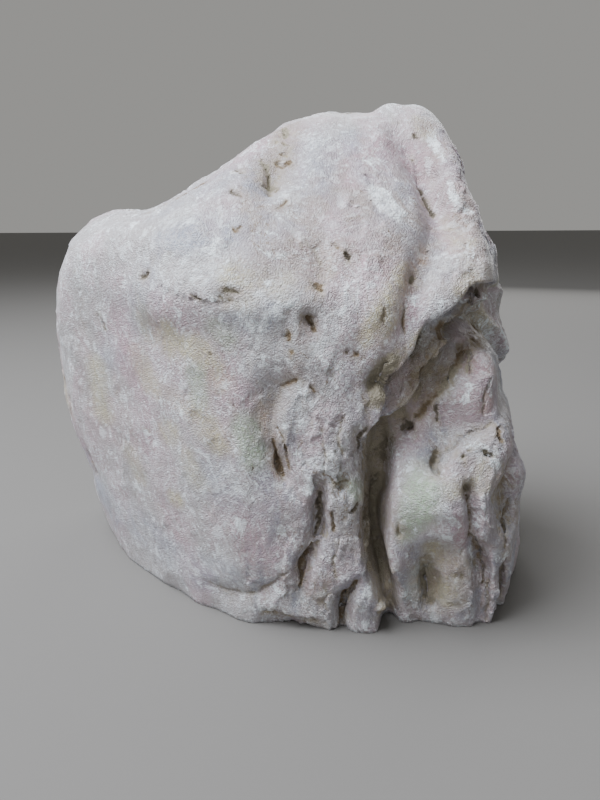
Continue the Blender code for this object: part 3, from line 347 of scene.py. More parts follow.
STROKES = (
    # Pink stone
    Stroke(FRONT, Tint.PINK, ((57, 214, 7), (62, 200, 10), (66, 184, 8)), 1.0),
    Stroke(FRONT, Tint.PINK, ((68, 222, 6), (73, 206, 7), (77, 192, 6)), 0.9),
    # Painted shade as well as pink: this stroke darkens the right crest, which is turned from the light.
    Stroke(FRONT, Tint.PINK, ((76, 222, 8), (86, 202, 8), (92, 182, 8)), 0.6),
    Stroke(FRONT, Tint.PINK, ((88, 152, 8), (92, 140, 8), (78, 140, 7)), 1.0),
    Stroke(FRONT, Tint.PINK, ((82, 126, 9), (84, 110, 10), (72, 104, 8)), 1.0),
    Stroke(FRONT, Tint.PINK, ((58, 108, 7), (56, 94, 7)), 0.8),
    Stroke(FRONT, Tint.PINK, ((20, 186, 13), (32, 178, 13), (40, 170, 10)), 0.9),
    Stroke(FRONT, Tint.PINK, ((44, 206, 8), (24, 214, 9)), 0.6),
    Stroke(FRONT, Tint.PINK, ((8, 176, 9), (18, 162, 9)), 0.6),
    Stroke(FRONT, Tint.PINK, ((50, 160, 6), (48, 148, 6)), 0.8),
    Stroke(FRONT, Tint.PINK, ((-80, 158, 8), (-80, 138, 9), (-74, 118, 9)), 0.7),
    Stroke(FRONT, Tint.PINK, ((-70, 96, 12), (-60, 66, 12), (-54, 40, 10)), 0.6),
    Stroke(FRONT, Tint.PINK, ((-28, 56, 12), (-14, 42, 12)), 0.6),
    Stroke(FRONT, Tint.PINK, ((-30, 124, 9), (-18, 116, 8)), 0.6),
    Stroke(FRONT, Tint.PINK, ((-50, 150, 10),), 0.6),
    Stroke(FRONT, Tint.PINK, ((12, 98, 6), (16, 108, 7)), 0.6),
    Stroke(FRONT, Tint.PINK, ((72, 62, 4), (76, 48, 4)), 0.8),
    Stroke(FRONT, Tint.PINK, ((100, 90, 8), (104, 70, 8)), 0.7),
    Stroke(TOP, Tint.PINK, ((-20, -16, 12), (10, -4, 14)), 0.6),
    Stroke(BACK, Tint.PINK, ((-60, 60, 26), (10, 90, 28)), 0.9),
    Stroke(BACK, Tint.PINK, ((50, 180, 22),), 0.9),
    Stroke(RIGHT, Tint.PINK, ((-10, 110, 22), (10, 60, 20)), 0.9),
    Stroke(LEFT, Tint.PINK, ((40, 130, 16), (10, 60, 16)), 0.8),
    # Cream and pale green stone that light sinks into
    Stroke(FRONT, Tint.CREAM, ((47, 166, 4), (42, 154, 6), (36, 144, 7), (31, 139, 4)), 1.0),
    Stroke(FRONT, Tint.CREAM, ((-22, 165, 6), (-12, 163, 6)), 0.9),
    Stroke(FRONT, Tint.CREAM, ((-22, 156, 6), (-16, 154, 5)), 0.7),
    Stroke(FRONT, Tint.CREAM, ((-52, 143, 4), (-50, 134, 7), (-38, 134, 7), (-30, 122, 7)), 0.9),
    Stroke(FRONT, Tint.CREAM, ((-56, 92, 7),), 0.9),
    Stroke(FRONT, Tint.CREAM, ((-54, 58, 5),), 1.0),
    Stroke(FRONT, Tint.CREAM, ((-37, 104, 8), (-30, 92, 6)), 0.8),
    Stroke(FRONT, Tint.CREAM, ((-98, 116, 7), (-96, 92, 8)), 0.8),
    Stroke(FRONT, Tint.CREAM, ((-70, 128, 6), (-64, 114, 6), (-44, 108, 6)), 0.6),
    Stroke(FRONT, Tint.CREAM, ((-46, 84, 5), (-42, 72, 6)), 0.5),
    Stroke(FRONT, Tint.CREAM, ((-64, 146, 6), (-60, 138, 7)), 0.6),
    Stroke(FRONT, Tint.CREAM, ((12, 176, 5), (16, 168, 6)), 0.5),
    Stroke(FRONT, Tint.CREAM, ((-80, 74, 6), (-76, 62, 5)), 0.5),
    Stroke(FRONT, Tint.GREEN, ((-30, 144, 5), (-24, 138, 5)), 0.6),
    Stroke(FRONT, Tint.GREEN, ((60, 30, 6), (58, 18, 6)), 0.5),
    Stroke(FRONT, Tint.CREAM, ((-4, 160, 6), (2, 166, 5)), 0.5),
    Stroke(FRONT, Tint.CREAM, ((66, 44, 7), (76, 34, 8), (74, 18, 9)), 1.0),
    Stroke(FRONT, Tint.CREAM, ((70, 76, 5), (82, 78, 6), (84, 84, 5)), 0.8),
    Stroke(FRONT, Tint.CREAM, ((66, 226, 5), (61, 231, 4)), 0.8),
    Stroke(FRONT, Tint.CREAM, ((74, 182, 7), (80, 166, 7), (72, 158, 5)), 0.8),
    Stroke(FRONT, Tint.CREAM, ((40, 126, 5), (48, 130, 4), (56, 140, 4)), 0.8),
    Stroke(FRONT, Tint.GREEN, ((58, 76, 9), (56, 64, 9), (52, 54, 6)), 1.0),
    Stroke(FRONT, Tint.GREEN, ((-18, 102, 7), (-15, 88, 7)), 1.0),
    Stroke(FRONT, Tint.GREEN, ((28, 76, 4), (31, 70, 4)), 1.0),
    Stroke(FRONT, Tint.GREEN, ((-40, 124, 5), (-38, 112, 5)), 0.7),
    Stroke(BACK, Tint.CREAM, ((-20, 40, 18), (20, 50, 16)), 0.9),
    Stroke(BACK, Tint.GREEN, ((70, 130, 14), (60, 104, 12)), 0.9),
    Stroke(RIGHT, Tint.CREAM, ((-30, 150, 12), (-10, 130, 10)), 0.9),
    Stroke(LEFT, Tint.CREAM, ((20, 90, 14),), 0.8),
    # Bluish stone, low on the left and up the right edge; up the right crest and on the front of the right
    # side the bluish grey and the stain are also painted shade
    Stroke(FRONT, Tint.COOL, ((-80, 30, 14), (-50, 20, 14), (-30, 26, 10)), 0.55),
    Stroke(FRONT, Tint.COOL, ((-30, 84, 9), (-40, 70, 10), (-10, 66, 8)), 0.45),
    # Painted shade as well as bluish stone: this stroke darkens the right crest, which is turned from the
    # light.
    Stroke(FRONT, Tint.COOL, ((80, 212, 7), (88, 196, 11), (92, 176, 12), (94, 160, 10)), 1.0),
    Stroke(FRONT, Tint.COOL, ((98, 126, 9), (100, 106, 10), (104, 84, 10), (106, 50, 9)), 1.0),
    Stroke(FRONT, Tint.COOL, ((60, 36, 5), (62, 12, 5)), 0.8),
    Stroke(FRONT, Tint.COOL, ((14, 86, 8), (20, 66, 8), (20, 36, 8), (32, 22, 6)), 0.3),
    Stroke(FRONT, Tint.COOL, ((-60, 160, 10), (-90, 120, 8)), 0.5),
    Stroke(FRONT, Tint.COOL, ((-50, 178, 8), (-30, 182, 9), (-8, 184, 8)), 0.8),
    Stroke(FRONT, Tint.COOL, ((46, 200, 7), (34, 208, 8), (30, 220, 8)), 0.8),
    Stroke(FRONT, Tint.COOL, ((-22, 148, 6), (-12, 146, 6), (-6, 152, 5)), 0.8),
    Stroke(TOP, Tint.COOL, ((-50, -30, 16), (20, -30, 16)), 0.5),
    Stroke(BACK, Tint.COOL, ((-70, 130, 24), (0, 30, 20)), 0.8),
    Stroke(RIGHT, Tint.COOL, ((30, 120, 20), (-30, 40, 20)), 0.8),
    # Painted shade as well as tint: bluish grey and stain darken the front of the right side, which is turned
    # from the light.
    Stroke(RIGHT, Tint.COOL, ((-66, 20, 22), (-62, 90, 24), (-52, 150, 24), (-40, 200, 22)), 1.0),
    Stroke(RIGHT, Tint.STAIN_AND_SHADE, ((-66, 20, 22), (-62, 90, 24), (-52, 150, 24), (-40, 200, 22)), 0.6),
    Stroke(RIGHT, Tint.STAIN_AND_SHADE, ((-50, 196, 12), (-62, 176, 14), (-66, 162, 12)), 1.1),
    Stroke(LEFT, Tint.COOL, ((0, 30, 20), (50, 80, 14)), 0.8),
    # Crushed stone on ridges and blows
    Stroke(FRONT, Tint.CRUSHED, ((37, 199, 4), (42, 194, 6), (47, 188, 4)), 1.0),
    Stroke(FRONT, Tint.CRUSHED, ((15, 219, 2), (19, 223, 2)), 0.9),
    Stroke(FRONT, Tint.CRUSHED, ((35, 212, 3), (42, 211, 3)), 0.9),
    Stroke(FRONT, Tint.CRUSHED, ((54, 204, 5), (56, 194, 5)), 0.5),
    Stroke(FRONT, Tint.CRUSHED, ((68, 224, 4), (69, 218, 3), (71, 212, 2)), 1.0),
    Stroke(FRONT, Tint.CRUSHED, ((72, 202, 2), (73, 194, 3), (77, 190, 2), (80, 189, 2)), 1.0),
    Stroke(FRONT, Tint.CRUSHED, ((63, 199, 2),), 0.6),
    Stroke(FRONT, Tint.CRUSHED, ((78, 174, 4), (75, 168, 4)), 0.7),
    Stroke(FRONT, Tint.CRUSHED, ((-2, 172, 3),), 1.0),
    Stroke(FRONT, Tint.CRUSHED, ((-38, 186, 2),), 0.8),
    Stroke(FRONT, Tint.CRUSHED, ((-28, 178, 2), (-32, 173, 2.5), (-27, 172, 2)), 0.9),
    Stroke(FRONT, Tint.CRUSHED, ((-14, 187, 2),), 0.7),
    Stroke(FRONT, Tint.CRUSHED, ((-30, 156.5, 2.4),), 1.0),
    Stroke(FRONT, Tint.CRUSHED, ((-38, 166, 1.6),), 0.8),
    Stroke(FRONT, Tint.CRUSHED, ((-70, 185, 4),), 0.8),
    Stroke(FRONT, Tint.CRUSHED, ((-7, 161, 2.4),), 0.9),
    Stroke(FRONT, Tint.CRUSHED, ((4, 155, 2), (-3, 153, 3), (-7, 150, 3.5), (-10, 145, 3)), 1.0),
    Stroke(FRONT, Tint.CRUSHED, ((-14, 154, 3), (-17, 149, 5), (-10, 141, 4)), 0.8),
    Stroke(FRONT, Tint.CRUSHED, ((-10, 131, 2),), 0.9),
    Stroke(FRONT, Tint.CRUSHED, ((-62, 139, 2), (-58, 131, 1.4)), 0.8),
    Stroke(FRONT, Tint.CRUSHED, ((-50, 154, 3), (-43, 147, 4), (-49, 141, 3)), 0.6),
    Stroke(FRONT, Tint.CRUSHED, ((-48, 118, 2.4),), 0.8),
    Stroke(FRONT, Tint.CRUSHED, ((5, 122, 2.4), (7, 116, 2)), 0.9),
    Stroke(FRONT, Tint.CRUSHED, ((-58, 160, 4), (-46, 154, 4), (-34, 150, 4)), 0.5),
    Stroke(FRONT, Tint.CRUSHED, ((-3, 54, 4),), 1.0),
    Stroke(FRONT, Tint.CRUSHED, ((7, 74, 3.5), (12, 76, 3)), 0.9),
    Stroke(FRONT, Tint.CRUSHED, ((-1, 103, 2),), 0.8),
    Stroke(FRONT, Tint.CRUSHED, ((4, 93, 3), (4, 87, 2)), 0.7),
    Stroke(FRONT, Tint.CRUSHED, ((11, 103, 1.4),), 0.9),
    Stroke(FRONT, Tint.CRUSHED, ((15, 80, 1.5),), 0.9),
    Stroke(FRONT, Tint.CRUSHED, ((20, 69, 2.4),), 0.8),
    Stroke(FRONT, Tint.CRUSHED, ((18, 88, 2.5), (25, 95, 3.5)), 0.7),
    Stroke(FRONT, Tint.CRUSHED, ((34, 20, 3), (36, 27, 2.4)), 0.8),
    Stroke(FRONT, Tint.CRUSHED, ((5, 16, 3),), 0.6),
    Stroke(FRONT, Tint.CRUSHED, ((-24, 73, 2),), 0.9),
    Stroke(FRONT, Tint.CRUSHED, ((79, 92, 4), (85, 90, 4), (90, 84, 3)), 0.8),
    Stroke(FRONT, Tint.CRUSHED, ((72, 60, 4), (69, 66, 3)), 0.7),
    Stroke(FRONT, Tint.CRUSHED, ((82, 44, 2), (84, 35, 2.4), (87, 28, 1.6)), 0.8),
    Stroke(FRONT, Tint.CRUSHED, ((84, 60, 3), (86, 70, 4)), 0.6),
    Stroke(FRONT, Tint.CRUSHED, ((97, 37, 4), (103, 37, 3)), 0.8),
    Stroke(FRONT, Tint.CRUSHED, ((56, 55, 4), (55, 34, 3)), 0.6),
    Stroke(FRONT, Tint.CRUSHED, ((78, 118, 2.4), (76, 110, 2.2)), 1.0),
    Stroke(FRONT, Tint.CRUSHED, ((86, 119, 2), (88, 113, 2.4)), 0.9),
    Stroke(FRONT, Tint.CRUSHED, ((88, 133, 1.8),), 0.9),
    Stroke(FRONT, Tint.CRUSHED, ((65, 154, 3), (59, 150, 3), (50, 155, 3)), 0.7),
    Stroke(FRONT, Tint.CRUSHED, ((60, 12, 6), (72, 6, 5)), 0.5),
    Stroke(FRONT, Tint.CRUSHED, ((-90, 152, 10), (-74, 172, 8), (-56, 176, 8)), 0.45),
    Stroke(FRONT, Tint.CRUSHED, ((-50, 164, 10), (-24, 172, 12), (-6, 176, 10)), 0.5),
    Stroke(FRONT, Tint.CRUSHED, ((0, 192, 14), (20, 212, 12), (44, 224, 10)), 0.4),
    Stroke(FRONT, Tint.CRUSHED, ((22, 120, 8), (14, 130, 8)), 0.5),
    Stroke(TOP, Tint.CRUSHED, ((-60, -10, 16), (-30, -8, 14), (10, -20, 10)), 0.5),
    Stroke(BACK, Tint.CRUSHED, ((-70, 120, 5), (-30, 130, 6), (20, 148, 5), (70, 160, 6)), 0.9),
    Stroke(BACK, Tint.CRUSHED, ((-40, 180, 6), (-20, 190, 8)), 0.8),
    Stroke(BACK, Tint.CRUSHED, ((30, 70, 5), (44, 62, 7)), 0.8),
    Stroke(BACK, Tint.CRUSHED, ((-80, 40, 6),), 0.7),
    Stroke(RIGHT, Tint.CRUSHED, ((-40, 150, 5), (0, 128, 6), (40, 100, 5)), 0.9),
    Stroke(RIGHT, Tint.CRUSHED, ((-10, 40, 6),), 0.8),
    Stroke(LEFT, Tint.CRUSHED, ((10, 130, 6), (30, 140, 8)), 0.7),
    Stroke(LEFT, Tint.CRUSHED, ((20, 70, 4),), 0.9),
    # Brownish stains that have soaked into the stone; under the overhang, in the right trough and up the
    # right crest they are also painted shade
    # Partly painted shade: stain warms and darkens the sheets under the overhang, where its shadow falls.
    Stroke(FRONT, Tint.STAIN_AND_SHADE, ((82, 149, 6), (74, 139, 7), (67, 129, 8), (59, 114, 9), (50, 100, 9)), 1.2),
    Stroke(FRONT, Tint.STAIN_AND_SHADE, ((94, 134, 7), (88, 126, 7), (78, 114, 7), (66, 98, 9)), 0.5),
    Stroke(FRONT, Tint.STAIN_AND_SHADE, ((96, 120, 9), (98, 100, 9)), 0.5),
    Stroke(FRONT, Tint.STAIN_AND_SHADE, ((38, 156, 4), (43, 164, 5), (46, 150, 4)), 0.6),
    Stroke(FRONT, Tint.STAIN_AND_SHADE, ((53, 182, 4), (55, 172, 5)), 0.7),
    # Partly painted shade: stain in the right trough darkens its shaded hollow.
    Stroke(FRONT, Tint.STAIN_AND_SHADE, ((92, 76, 6), (92, 60, 7), (94, 46, 6)), 0.9),
    Stroke(FRONT, Tint.STAIN_AND_SHADE, ((70, 42, 6), (78, 34, 8), (68, 24, 6)), 0.7),
    Stroke(FRONT, Tint.STAIN_AND_SHADE, (
        (5, 143, 4), (6, 132, 4), (1, 121, 6), (-8, 112, 8), (-8, 98, 6), (-2, 82, 5),
    ), 0.8),
    Stroke(FRONT, Tint.STAIN_AND_SHADE, ((-18, 164, 7),), 0.6),
    # Painted shade as well as stain: this darkens the right crest, which is turned from the light.
    Stroke(FRONT, Tint.STAIN_AND_SHADE, ((68, 218, 5), (73, 204, 6), (76, 192, 6), (79, 180, 9), (84, 166, 10)), 0.7),
    Stroke(FRONT, Tint.STAIN_AND_SHADE, ((104, 100, 8), (106, 60, 8)), 0.35),
    Stroke(FRONT, Tint.STAIN_AND_SHADE, ((22, 174, 6), (25, 170, 5)), 0.7),
    Stroke(FRONT, Tint.STAIN_AND_SHADE, ((12, 163, 6), (9, 150, 5), (10, 142, 5)), 0.8),
    Stroke(FRONT, Tint.STAIN_AND_SHADE, ((-34, 136, 4), (-36, 128, 4)), 0.5),
    Stroke(FRONT, Tint.STAIN_AND_SHADE, ((-88, 118, 3), (-84, 104, 3), (-78, 88, 3), (-72, 74, 3)), 0.45),
    Stroke(FRONT, Tint.STAIN_AND_SHADE, ((-51, 146, 5),), 0.5),
    Stroke(FRONT, Tint.STAIN_AND_SHADE, ((10, 26, 8), (24, 12, 8), (2, 8, 6)), 0.6),
    Stroke(FRONT, Tint.STAIN_AND_SHADE, ((30, 84, 5), (28, 60, 5), (26, 40, 6)), 0.5),
    Stroke(FRONT, Tint.STAIN_AND_SHADE, ((86, 96, 7), (78, 98, 5)), 0.5),
    Stroke(FRONT, Tint.STAIN_AND_SHADE, ((66, 14, 6), (84, 12, 8), (98, 12, 8)), 0.6),
    Stroke(FRONT, Tint.STAIN_AND_SHADE, ((-90, 92, 7), (-84, 74, 6)), 0.4),
    Stroke(FRONT, Tint.STAIN_AND_SHADE, ((-24, 42, 5), (-12, 30, 6)), 0.4),
    Stroke(TOP, Tint.STAIN_AND_SHADE, ((0, -3, 9), (-1, -14, 11), (-5, -32, 12)), 1.2),
    # Partly painted shade: stain, pink and bluish grey along the top's right edge darken the right crest,
    # which is turned from the light.
    Stroke(TOP, Tint.STAIN_AND_SHADE, ((68, -14, 9), (75, -40, 10), (82, -62, 12)), 0.8),
    Stroke(TOP, Tint.PINK, ((67, -20, 7), (72, -42, 8), (74, -56, 8)), 1.4),
    Stroke(TOP, Tint.COOL, ((76, -16, 9), (82, -40, 9), (86, -60, 9)), 1.6),
    Stroke(FRONT, Tint.STAIN_AND_SHADE, ((-104, 150, 7), (-107, 110, 7), (-99, 66, 7)), 0.4),
    Stroke(TOP, Tint.PINK, ((30, -36, 12), (44, -26, 10)), 0.8),
    Stroke(BACK, Tint.STAIN_AND_SHADE, ((-50, 120, 10), (-40, 80, 10), (-40, 20, 10)), 0.8),
    Stroke(BACK, Tint.STAIN_AND_SHADE, ((40, 150, 12), (60, 120, 10)), 0.7),
    Stroke(RIGHT, Tint.STAIN_AND_SHADE, ((-30, 130, 10), (10, 104, 10), (30, 60, 10)), 0.8),
    Stroke(LEFT, Tint.STAIN_AND_SHADE, ((40, 100, 10), (44, 60, 10), (30, 20, 14)), 0.6),
    # Soil that has settled under the overhang, in the crevice, the trough and the fissure; under the overhang
    # and along the ledge below it the soil is also painted shade
    # Partly painted shade: tan, brown, olive and dark soil along the overhang's lip and the ledge below it
    # darken where the overhang shades the stone.
    Stroke(FRONT, Tint.TAN, (
        (80, 150, 4), (68, 141, 5), (62, 131, 7), (57, 116, 7), (49, 100, 6), (42, 90, 6),
    ), 1.7),
    Stroke(FRONT, Tint.BROWN, ((66, 140, 3), (60, 135, 4), (57, 126, 5), (53, 118, 4)), 1.2),
    Stroke(FRONT, Tint.OLIVE, ((56, 128, 3), (52, 112, 4), (48, 100, 4)), 0.9),
    Stroke(FRONT, Tint.OLIVE, ((43, 130, 3), (39, 124, 5), (36, 117, 5), (38, 111, 4)), 1.6),
    Stroke(FRONT, Tint.DARK, ((57, 141, 2), (55.5, 134, 2.5), (54, 127, 2)), 1.3),
    Stroke(FRONT, Tint.OLIVE, ((46, 92, 4), (42, 84, 6)), 1.6),
    Stroke(FRONT, Tint.OLIVE, ((72, 122, 3), (69, 114, 4)), 1.3),
    Stroke(FRONT, Tint.TAN, ((96, 132, 4), (84, 135, 4), (76, 130, 4), (66, 116, 5), (58, 101, 4)), 1.6),
    Stroke(FRONT, Tint.BROWN, (
        (94, 133, 2), (84, 135, 2), (76, 130, 2.5), (66, 116, 2.5), (58, 101, 2.5),
    ), 1.3),
    Stroke(FRONT, Tint.DARK, ((46, 89, 4), (43, 80, 4)), 1.2),
    Stroke(FRONT, Tint.TAN, (
        (38.5, 92, 7), (38.5, 76, 8), (38, 60, 8), (38.5, 44, 7), (41, 32, 7), (44, 22, 7), (47, 8, 6),
    ), 2.4),
    Stroke(FRONT, Tint.OLIVE, (
        (39, 86, 6), (38.5, 70, 6), (38, 56, 6), (38.5, 42, 5), (41, 32, 5), (44, 20, 3),
    ), 1.6),
    Stroke(FRONT, Tint.DARK, ((40, 82, 3), (41, 74, 3), (36, 64, 3), (35.5, 48, 3)), 0.9),
    Stroke(FRONT, Tint.BROWN, ((2, 121, 2), (-5, 117, 3), (-9.5, 108, 4), (-9, 98, 3.5), (-6, 90, 3)), 0.55),
    Stroke(FRONT, Tint.TAN, ((-8, 113, 7), (-10, 98, 6)), 0.9),
    Stroke(FRONT, Tint.RUST, ((51, 167, 4), (49, 158, 3)), 0.8),
    Stroke(FRONT, Tint.RUST, ((57, 170, 4),), 0.7),
    Stroke(FRONT, Tint.RUST, ((-8, 108, 4), (-7, 92, 3), (-3, 80, 3)), 0.6),
    Stroke(FRONT, Tint.RUST, ((66, 26, 4), (68, 14, 3)), 0.8),
    Stroke(FRONT, Tint.RUST, ((12, 160, 3),), 0.6),
    Stroke(FRONT, Tint.RUST, ((24, 36, 6), (12, 22, 6)), 0.35),
    # Partly painted shade: tan and brown in the right trough darken its shaded hollow.
    Stroke(FRONT, Tint.TAN, ((95, 80, 5), (96, 66, 7), (99, 50, 7), (101, 34, 5)), 1.2),
    Stroke(FRONT, Tint.BROWN, ((95, 79, 3), (97, 66, 4), (100, 54, 4)), 0.6),
    Stroke(FRONT, Tint.TAN, ((64, 36, 4), (65, 24, 4.5), (66, 12, 4)), 1.2),
    Stroke(FRONT, Tint.TAN, ((76, 33, 8), (86, 32, 5)), 0.6),
    Stroke(FRONT, Tint.OLIVE, ((76, 31, 4), (80, 29, 3)), 0.8),
    Stroke(FRONT, Tint.TAN, ((30, 100, 8), (24, 78, 9), (16, 58, 9), (10, 36, 8)), 0.55),
    Stroke(FRONT, Tint.TAN, ((16, 20, 9), (28, 14, 6)), 0.6),
    # Painted shade as well as soil: tan at the foot's undercut and on the low left side darkens faces that
    # lie in shadow.
    Stroke(FRONT, Tint.TAN, ((-12, 6, 4), (4, 4, 5), (16, 2, 4)), 0.5),
    Stroke(LEFT, Tint.TAN, ((30, 18, 16), (54, 30, 18)), 0.6),
    Stroke(TOP, Tint.TAN, ((-1, -2, 7), (-2, -14, 8), (-4, -26, 8), (-9, -32, 8)), 1.3),
    Stroke(BACK, Tint.TAN, ((-50, 126, 6), (-52, 90, 8), (-46, 40, 8), (-46, 6, 7)), 0.6),
    Stroke(BACK, Tint.TAN, ((0, 142, 6), (50, 140, 6)), 0.5),
    Stroke(RIGHT, Tint.TAN, ((-20, 140, 6), (10, 112, 6), (40, 96, 6)), 0.5),
    # Where the broken stone is roughest
    Stroke(FRONT, Tint.ROUGH, ((14, 120, 14), (20, 90, 20), (18, 50, 22), (20, 10, 22)), 1.0),
    Stroke(FRONT, Tint.ROUGH, ((78, 214, 12), (82, 184, 12), (72, 168, 10)), 0.8),
    Stroke(FRONT, Tint.ROUGH, ((88, 88, 16), (94, 56, 18), (94, 16, 18)), 1.0),
    Stroke(FRONT, Tint.ROUGH, ((36, 200, 16), (24, 160, 18)), 0.5),
    Stroke(FRONT, Tint.ROUGH, ((60, 8, 14),), 0.7),
    Stroke(FRONT, Tint.ROUGH, ((84, 128, 12), (74, 120, 12), (58, 104, 10)), 0.55),
    Stroke(TOP, Tint.ROUGH, ((-80, 10, 26), (-20, -10, 24)), 0.5),
    Stroke(BACK, Tint.ROUGH, ((-80, 80, 50), (0, 150, 50), (70, 80, 50)), 0.9),
    Stroke(RIGHT, Tint.ROUGH, ((0, 170, 40), (0, 60, 50)), 0.9),
    Stroke(LEFT, Tint.ROUGH, ((40, 110, 36), (40, 40, 30)), 0.6),
)


def smooth_step(value: np.ndarray) -> np.ndarray:
    """0 below 0, 1 above 1, and a smooth rise between them."""
    value = np.clip(value, 0, 1)
    return value * value * (3 - 2 * value)


def soft_noise(places: np.ndarray, size: float, octaves: int = 1) -> np.ndarray:
    """Smooth noise at some places.

    Args:
        places: Points, one to a row, in metres.
        size: The size of the swellings, in metres.
        octaves: How many layers of noise are added up, each twice as fine as the one before.

    Returns:
        The noise at each point, about -1 to 1.
    """
    scaled = (places / size).tolist()
    if octaves == 1:
        return np.array([noise.noise(place) for place in scaled])
    return np.array([noise.fractal(place, 1.0, 2.0, octaves) for place in scaled])


def noise_columns(places: np.ndarray, size: float, octaves: int, lifts: tuple) -> np.ndarray:
    """Smooth noise in several columns that differ.

    Args:
        places: Points, one to a row, in metres.
        size: The size of the swellings, in metres.
        octaves: How many layers of noise are added up.
        lifts: How far the places are moved for each column, in metres.

    Returns:
        A column of noise for each lift.
    """
    return np.stack([soft_noise(places + lift, size, octaves) for lift in lifts], axis=1)


def near_path(flat: np.ndarray, path: tuple) -> tuple:
    """How far points in a plane lie from a path, and what its other columns are there.

    Args:
        flat: Points in the plane, one to a row.
        path: The path's points: two columns of place, then any other columns.

    Returns:
        The distance of each point, which is negative on the right of the path, and the path's other columns
        at the nearest place on it.
    """
    points = np.array(path, float)
    distance = np.full(len(flat), np.inf)
    left = np.ones(len(flat))
    values = np.zeros((points.shape[1] - 2, len(flat)))
    pairs = list(zip(points[:-1], points[1:])) or [(points[0], points[0])]
    for start, end in pairs:
        edge = end[:2] - start[:2]
        offset = flat - start[:2]
        along = np.clip(offset @ edge / max(edge @ edge, TINY), 0, 1)
        away = np.linalg.norm(offset - along[:, None] * edge, axis=1)
        nearer = away < distance
        distance = np.where(nearer, away, distance)
        left = np.where(nearer, np.sign(edge[0] * offset[:, 1] - edge[1] * offset[:, 0] + TINY), left)
        values = np.where(nearer, start[2:, None] + along * (end - start)[2:, None], values)
    return distance * left, values


def placed(name: str, data: bpy.types.ID) -> bpy.types.Object:
    """Puts a new object into the scene.

    Args:
        name: Its name.
        data: Its mesh, light or camera.

    Returns:
        The object.
    """
    thing = bpy.data.objects.new(name, data)
    bpy.context.scene.collection.objects.link(thing)
    return thing


@dataclass
class Skin:
    """A dense closed surface as arrays, which keeps its points, its edges and its normals.

    What is seen from a side reaches a little past the stone's middle, and what is seen from the top starts at
    a height; both are in metres.
    """

    mesh: bpy.types.Mesh
    places: np.ndarray = field(init=False)
    normals: np.ndarray = field(init=False)
    edges: np.ndarray = field(init=False)
    facing_gain: float = 2.5
    facing_start: float = 0.9
    past_middle: float = 0.02
    top_from: float = 0.15

    def __post_init__(self) -> None:
        """Reads the arrays from the mesh."""
        count = len(self.mesh.vertices)
        self.places = np.zeros(count * 3)
        self.mesh.vertices.foreach_get("co", self.places)
        self.places = self.places.reshape(-1, 3)
        self.edges = np.zeros(len(self.mesh.edges) * 2, int)
        self.mesh.edges.foreach_get("vertices", self.edges)
        self.edges = self.edges.reshape(-1, 2)
        self.refresh()

    def cell_size(self) -> float:
        """The mean length of an edge."""
        first, second = self.edges.T
        return float(np.linalg.norm(self.places[first] - self.places[second], axis=1).mean())

    def rounds(self, reach: float) -> int:
        """How many rounds of spreading carry a value about as far as a reach in metres."""
        return max(2, round((reach / self.cell_size()) ** 2))

    def refresh(self) -> None:
        """Writes the places to the mesh and reads its normals again."""
        self.mesh.vertices.foreach_set("co", self.places.ravel())
        self.mesh.update()
        self.normals = np.zeros(self.places.size)
        self.mesh.vertices.foreach_get("normal", self.normals)
        self.normals = self.normals.reshape(-1, 3)

    def push(self, height: np.ndarray) -> None:
        """Moves each point outward along its normal by a height in metres."""
        self.places += self.normals * height[:, None]

    def spread(self, values: np.ndarray) -> np.ndarray:
        """Takes the mean of each point's neighbours.

        Args:
            values: One value or several values a point.

        Returns:
            The means, in the same form.
        """
        columns = values.reshape(len(values), -1)
        first, second = self.edges.T
        count = len(values)
        shares = np.bincount(first, minlength=count) + np.bincount(second, minlength=count)
        total = np.stack([
            np.bincount(first, column[second], count) + np.bincount(second, column[first], count)
            for column in columns.T
        ], axis=1)
        return (total / shares[:, None]).reshape(values.shape)

    def blurred(self, values: np.ndarray, rounds: int) -> np.ndarray:
        """Spreads values half way to their neighbours.

        Args:
            values: One value or several values a point.
            rounds: How many times they are spread.

        Returns:
            The spread values.
        """
        for _ in range(rounds):
            values = 0.5 * (values + self.spread(values))
        return values

    def seen_from(self, side: Side, shake: np.ndarray) -> tuple:
        """The skin as it is seen from a side.

        Args:
            side: The side.
            shake: How far each point's flat place is shifted, in millimetres, so that paths run naturally.

        Returns:
            The flat places in millimetres, and how fully each point faces that side.
        """
        across, up, axis, outward = side.value
        facing = smooth_step(self.normals[:, axis] * outward * self.facing_gain + self.facing_start)
        if side is Side.TOP:
            on_side = self.places[:, axis] > self.top_from
        else:
            on_side = self.places[:, axis] * outward > -self.past_middle
        return self.places[:, [across, up]] / MM + shake, facing * on_side


